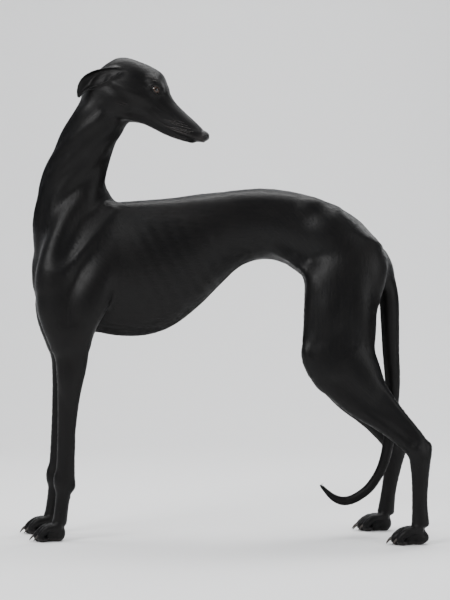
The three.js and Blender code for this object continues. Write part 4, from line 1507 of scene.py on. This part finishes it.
def streak_group():
    """Streaks along the hairs: noise drawn out along each of a few directions, weighted by how well each
    direction matches the lie."""
    kinds = {"Place": "NodeSocketVector", "Lie": "NodeSocketVector", "Fineness": "NodeSocketFloat"}
    group, start, end = height_group("hair_streaks", kinds)
    total, weights = 0.0, 0.0001
    for way in STREAK_WAYS:
        match = vector_of(group, "DOT_PRODUCT", "Value", start["Lie"], way)
        weight = sum_of(group, "POWER", sum_of(group, "ABSOLUTE", match), 6.0)
        along = vector_of(group, "DOT_PRODUCT", "Value", start["Place"], way)
        drawn = vector_of(group, "SCALE", "Vector", way, scale=sum_of(group, "MULTIPLY", along, 0.93))
        place = vector_of(group, "SUBTRACT", "Vector", start["Place"], drawn)
        streak = noise(group, place, start["Fineness"], 2.0, 0.55)
        total = sum_of(group, "ADD", total, sum_of(group, "MULTIPLY", weight, streak))
        weights = sum_of(group, "ADD", weights, weight)
    group.links.new(sum_of(group, "DIVIDE", total, weights), end)


def pebble_group():
    """Leathery skin: rounded cells with creases between them, roughened by fine noise."""
    kinds = {"Place": "NodeSocketVector", "Fineness": "NodeSocketFloat"}
    group, start, end = height_group("pebbled_skin", kinds)
    inputs = {"Vector": start["Place"], "Scale": start["Fineness"], "Randomness": 0.9}
    cells = add_node(group, "ShaderNodeTexVoronoi", inputs).outputs["Distance"]
    rough = noise(group, start["Place"], sum_of(group, "MULTIPLY", start["Fineness"], 2.3), 3.0)
    dome = sum_of(group, "SUBTRACT", 1.0, sum_of(group, "POWER", cells, 2.0))
    group.links.new(sum_of(group, "ADD", dome, sum_of(group, "MULTIPLY", rough, 0.3)), end)


def new_material(name):
    """An empty material's nodes, its shader, and the place on the piece that its patterns read."""
    material = bpy.data.materials.new(name)
    material.use_nodes = True
    tree = material.node_tree
    return tree, tree.nodes["Principled BSDF"], add_node(tree, "ShaderNodeTexCoord").outputs["Object"]


def coat_material(settings):
    """Short glossy black hair: streaks along the lie in colour, gloss and relief, warmer where the coat is thin or
    sun-worn, with bare leathery skin on lids, lips and pads."""
    tree, shader, place = new_material("black_coat")
    lie, bare = attribute(tree, "lie", "Vector"), attribute(tree, "bare")
    fine, locks = (group_height(tree, "hair_streaks", Place=place, Lie=lie, Fineness=f) for f in (1100.0, 210.0))
    grain = group_height(tree, "pebbled_skin", Place=place, Fineness=700.0)
    patches = noise(tree, place, 7.0, 3.0, 0.6)
    warm = ranged(tree, blend(tree, (locks, 0.6), (patches, 0.6)), 0.48, 0.78)
    hair = colour_mix(tree, warm, settings.coat_colour, settings.coat_warm)
    hair = colour_mix(tree, ranged(tree, fine, 0.35, 0.7, 0.45, 0.0), hair, (0.0015, 0.0015, 0.0016))
    skin = colour_mix(tree, ranged(tree, patches, 0.3, 0.7), (0.012, 0.0112, 0.011), (0.02, 0.0175, 0.0165))
    gloss = sum_of(tree, "ADD", blend(tree, (locks, 0.22), (patches, 0.12)), settings.coat_roughness - 0.17)
    covered = sum_of(tree, "SUBTRACT", 1.0, bare)
    relief, leather = blend(tree, (fine, 0.45), (locks, 1.0)), sum_of(tree, "MULTIPLY", grain, 0.35)
    height = blend(tree, (relief, covered), (leather, bare))
    set_inputs(tree, shader, {
        "Base Color": colour_mix(tree, bare, hair, skin),
        "Roughness": sum_of(tree, "ADD", gloss, sum_of(tree, "MULTIPLY", bare, 0.05)),
        "Normal": bump(tree, height, 0.4, 0.0014),
        "Specular IOR Level": 0.18,
        "Sheen Weight": 0.02, "Sheen Roughness": 0.4, "Sheen Tint": (0.6, 0.65, 0.75, 1),
    })


def leather_material(settings):
    """Moist black nose leather, used for the lids' rims too."""
    tree, shader, place = new_material("nose_leather")
    grain = group_height(tree, "pebbled_skin", Place=place, Fineness=620.0)
    patches = ranged(tree, noise(tree, place, 90.0, 2.0), 0.3, 0.7)
    set_inputs(tree, shader, {
        "Base Color": colour_mix(tree, patches, settings.nose_colour, (0.011, 0.0095, 0.009)),
        "Roughness": ranged(tree, grain, 0.4, 1.2, 0.52, 0.3),
        "Normal": bump(tree, grain, 0.5, 0.0006),
        "Specular IOR Level": 0.22, "Coat Weight": 0.1, "Coat Roughness": 0.18,
    })


def eye_material(settings):
    """A wet eye: black pupil, dark brown iris with spokes and a darker rim, and dull brown-white beyond it."""
    tree, shader, _ = new_material("wet_eye")
    angle, turn = attribute(tree, "from_gaze"), attribute(tree, "round_gaze")
    sides = [sum_of(tree, "COSINE", turn), sum_of(tree, "SINE", turn), sum_of(tree, "MULTIPLY", angle, 0.5)]
    spokes = noise(tree, add_node(tree, "ShaderNodeCombineXYZ", dict(enumerate(sides))).outputs[0], 16.0, 3.0)
    colour = colour_mix(tree, spokes, [c * 0.35 for c in settings.iris_colour], settings.iris_colour)
    rings = [
        (0.58, 0.78, 0.0, 1.0, (0.004, 0.003, 0.0025)),
        (0.27, 0.31, 1.0, 0.0, (0.001, 0.001, 0.001)),
        (0.83, 0.98, 0.0, 1.0, (0.03, 0.02, 0.017)),
    ]
    for start, end, before, after, ring in rings:
        colour = colour_mix(tree, ranged(tree, angle, start, end, before, after), colour, ring)
    set_inputs(tree, shader, {
        "Base Color": colour, "Roughness": 0.12, "Specular IOR Level": 0.1,
        "Coat Weight": 0.8, "Coat Roughness": 0.02,
    })


def horn_material():
    """Dark claw horn, streaked along the claw in colour, gloss and relief."""
    tree, shader, place = new_material("dark_horn")
    drawn = add_node(tree, "ShaderNodeMapping", {"Vector": place, "Scale": (60.0, 900.0, 160.0)}).outputs[0]
    streak = noise(tree, drawn, 1.0, 3.0)
    set_inputs(tree, shader, {
        "Base Color": colour_mix(tree, streak, (0.008, 0.0065, 0.006), (0.05, 0.038, 0.03)),
        "Roughness": ranged(tree, streak, 0.3, 0.7, 0.28, 0.48),
        "Normal": bump(tree, streak, 0.3, 0.0004),
    })


def paper_material(colour):
    """Pale matt paper with the faintest unevenness."""
    tree, shader, place = new_material("pale_paper")
    mixed = colour_mix(tree, noise(tree, place, 2.5, 4.0), [c * 0.985 for c in colour], colour)
    set_inputs(tree, shader, {"Base Color": mixed, "Roughness": 0.9, "Specular IOR Level": 0.1})
    return bpy.data.materials["pale_paper"]


PHOTO_HEIGHT = 600
CAMERA_FOCUS = 1643.2  # in pixels of the photo
CAMERA_AT = (0.006, -3.5, 0.505)
SENSOR = 24
LAMP_AIM = (0, 0, 0.5)
LAMPS = [
    ("key_softbox", (-2.2, -2.3, 2.4), (1.6, 1.2), 85),
    ("fill_softbox", (2.6, -2.0, 1.3), (1.4, 1.8), 34),
    ("top_softbox", (0.2, -0.4, 3.2), (2.4, 1.6), 40),
    ("rim_softbox", (1.9, 1.9, 1.9), (1.0, 1.6), 18),
    ("backdrop_lamp", (-0.3, 0.9, 3.6), (4.0, 1.0), 125),
]
BACKDROP_WIDTH = 14
BACKDROP_BEHIND, BACKDROP_BEND, BACKDROP_HEIGHT = 3.2, 1.2, 5.0


def make_stage(settings):
    """A floor that turns up into a backdrop through a quarter circle, the camera, and soft studio lamps."""
    turn = np.linspace(0, np.pi / 2, 24)
    bend = BACKDROP_BEND
    curve = np.stack([BACKDROP_BEHIND - bend + bend * np.sin(turn), bend - bend * np.cos(turn)], 1)
    profile = np.concatenate([[[-BACKDROP_WIDTH / 2, 0]], curve, [[BACKDROP_BEHIND, BACKDROP_HEIGHT]]])
    x = np.linspace(-BACKDROP_WIDTH / 2, BACKDROP_WIDTH / 2, 15)
    count = len(profile)
    points = np.stack([np.repeat(x, count), *(np.tile(column, len(x)) for column in profile.T)], 1)
    i, j = np.meshgrid(np.arange(len(x) - 1), np.arange(count - 1), indexing="ij")
    a = i * count + j
    faces = np.stack([a, a + count, a + count + 1, a + 1], -1).reshape(-1, 4)
    smooth_mesh("backdrop", points, faces, paper_material(settings.backdrop_colour))
    camera = bpy.data.cameras.new("camera")
    camera.sensor_fit = "VERTICAL"
    camera.sensor_height = SENSOR
    camera.lens = SENSOR * CAMERA_FOCUS / PHOTO_HEIGHT
    view = new_object("camera", camera)
    view.location = CAMERA_AT
    view.rotation_euler = (np.pi / 2, 0, 0)
    bpy.context.scene.camera = view
    for name, place, size, power in LAMPS:
        lamp = bpy.data.lights.new(name, "AREA")
        lamp.shape = "RECTANGLE"
        lamp.size, lamp.size_y = size
        lamp.energy = power * settings.lamp_strength
        lit = new_object(name, lamp)
        lit.location = place
        lit.rotation_euler = (Vector(place) - Vector(LAMP_AIM)).to_track_quat("Z", "Y").to_euler()
    world = bpy.data.worlds.new("soft_room")
    bpy.context.scene.world = world
    world.use_nodes = True
    sky = world.node_tree.nodes["Background"]
    set_inputs(world.node_tree, sky, {"Color": (0.92, 0.95, 1, 1), "Strength": 0.42})


def colour_field(name, description, default):
    """A colour that the sidebar shows."""
    return bpy.props.FloatVectorProperty(
        name=name, description=description, subtype="COLOR", size=3, min=0, max=1, default=default,
    )


def share_field(name, description, default, low, high):
    """A share that the sidebar shows."""
    return bpy.props.FloatProperty(
        name=name, description=description, subtype="FACTOR", min=low, max=high, default=default,
    )


class GREYHOUND_PG_coat(bpy.types.PropertyGroup):
    """Colour and length of the coat."""

    coat_colour: colour_field("Coat colour", "Colour of the glossy black hair", (0.0016, 0.0015, 0.0017))
    coat_warm: colour_field("Sun-worn colour", "Warmer black where the coat is worn", (0.0038, 0.003, 0.0027))
    coat_roughness: share_field("Coat roughness", "Mean roughness of the hair's gloss", 0.42, 0.1, 1)
    tuft_share: share_field("Tuft length", "Length of the tufts as a share of a natural coat", 1.0, 0.3, 2)


class GREYHOUND_PG_face(bpy.types.PropertyGroup):
    """Colours and sizes on the face and feet."""

    iris_colour: colour_field("Iris colour", "Dark brown of the iris", (0.045, 0.018, 0.006))
    nose_colour: colour_field("Nose colour", "Black of the nose leather", (0.004, 0.0038, 0.004))
    whisker_length: bpy.props.FloatProperty(
        name="Whisker length", description="Length of the longest whisker", unit="LENGTH",
        min=0.005, max=0.08, default=0.034,
    )


class GREYHOUND_PG_studio(bpy.types.PropertyGroup):
    """The backdrop and the lamps."""

    backdrop_colour: colour_field("Backdrop colour", "Colour of the paper backdrop", (0.87, 0.87, 0.87))
    lamp_strength: share_field("Lamp strength", "Share of each lamp's power", 1.0, 0, 4)


class GREYHOUND_OT_materials(bpy.types.Operator):
    """Mix the finishes of the coat, nose, eyes and claws"""

    bl_idname = "greyhound.materials"
    bl_label = "Finishes"

    def execute(self, context):
        streak_group()
        pebble_group()
        coat_material(context.scene.greyhound_coat)
        leather_material(context.scene.greyhound_face)
        eye_material(context.scene.greyhound_face)
        horn_material()
        return {"FINISHED"}


class GREYHOUND_OT_skin(bpy.types.Operator):
    """Build the one skin over the whole body"""

    bl_idname = "greyhound.skin"
    bl_label = "Skin"

    def execute(self, context):
        make_skin(bpy.data.materials["black_coat"])
        return {"FINISHED"}


class GREYHOUND_OT_tufts(bpy.types.Operator):
    """Lay the tufts of the coat over the skin"""

    bl_idname = "greyhound.tufts"
    bl_label = "Coat tufts"

    def execute(self, context):
        coat = context.scene.greyhound_coat
        make_tufts(bpy.data.objects["skin"], bpy.data.materials["black_coat"], coat.tuft_share)
        return {"FINISHED"}


class GREYHOUND_OT_eyes(bpy.types.Operator):
    """Set the eyeballs and the rims of the lids"""

    bl_idname = "greyhound.eyes"
    bl_label = "Eyes and lids"

    def execute(self, context):
        make_eyes(bpy.data.materials["wet_eye"])
        make_lids(bpy.data.materials["nose_leather"])
        return {"FINISHED"}


class GREYHOUND_OT_nose(bpy.types.Operator):
    """Shape the nose leather with its nostrils"""

    bl_idname = "greyhound.nose"
    bl_label = "Nose"

    def execute(self, context):
        make_nose(bpy.data.materials["nose_leather"])
        return {"FINISHED"}


class GREYHOUND_OT_claws(bpy.types.Operator):
    """Set the claws on the toes"""

    bl_idname = "greyhound.claws"
    bl_label = "Claws"

    def execute(self, context):
        make_claws(bpy.data.materials["dark_horn"])
        return {"FINISHED"}


class GREYHOUND_OT_whiskers(bpy.types.Operator):
    """Set the whiskers on the lips, brows, cheeks and chin"""

    bl_idname = "greyhound.whiskers"
    bl_label = "Whiskers"

    def execute(self, context):
        make_whiskers(bpy.data.materials["dark_horn"], context.scene.greyhound_face.whisker_length * 1000)
        return {"FINISHED"}


class GREYHOUND_OT_studio(bpy.types.Operator):
    """Lay the backdrop and place the lamps and the camera"""

    bl_idname = "greyhound.studio"
    bl_label = "Studio"

    def execute(self, context):
        make_stage(context.scene.greyhound_studio)
        return {"FINISHED"}


OPERATORS = (
    GREYHOUND_OT_materials, GREYHOUND_OT_skin, GREYHOUND_OT_tufts, GREYHOUND_OT_eyes, GREYHOUND_OT_nose,
    GREYHOUND_OT_claws, GREYHOUND_OT_whiskers, GREYHOUND_OT_studio,
)
GROUPS = {
    "greyhound_coat": GREYHOUND_PG_coat, "greyhound_face": GREYHOUND_PG_face,
    "greyhound_studio": GREYHOUND_PG_studio,
}


class GREYHOUND_PT_panel(bpy.types.Panel):
    """Sizes, colours and steps of the greyhound"""

    bl_idname = "GREYHOUND_PT_panel"
    bl_label = "Greyhound"
    bl_space_type = "VIEW_3D"
    bl_region_type = "UI"
    bl_category = "Greyhound"

    def draw(self, context):
        for name, group in GROUPS.items():
            for field in group.__annotations__:
                self.layout.prop(getattr(context.scene, name), field)
        for operator in OPERATORS:
            self.layout.operator(operator.bl_idname)


def register():
    for group in GROUPS.values():
        bpy.utils.register_class(group)
    for name, group in GROUPS.items():
        setattr(bpy.types.Scene, name, bpy.props.PointerProperty(type=group))
    for made in (*OPERATORS, GREYHOUND_PT_panel):
        bpy.utils.register_class(made)


def unregister():
    for made in reversed((*OPERATORS, GREYHOUND_PT_panel)):
        bpy.utils.unregister_class(made)
    for name in GROUPS:
        delattr(bpy.types.Scene, name)
    for group in GROUPS.values():
        bpy.utils.unregister_class(group)


def main():
    register()
    bpy.ops.greyhound.materials()
    bpy.ops.greyhound.skin()
    bpy.ops.greyhound.tufts()
    bpy.ops.greyhound.eyes()
    bpy.ops.greyhound.nose()
    bpy.ops.greyhound.claws()
    bpy.ops.greyhound.whiskers()
    bpy.ops.greyhound.studio()


if __name__ == "__main__":
    main()
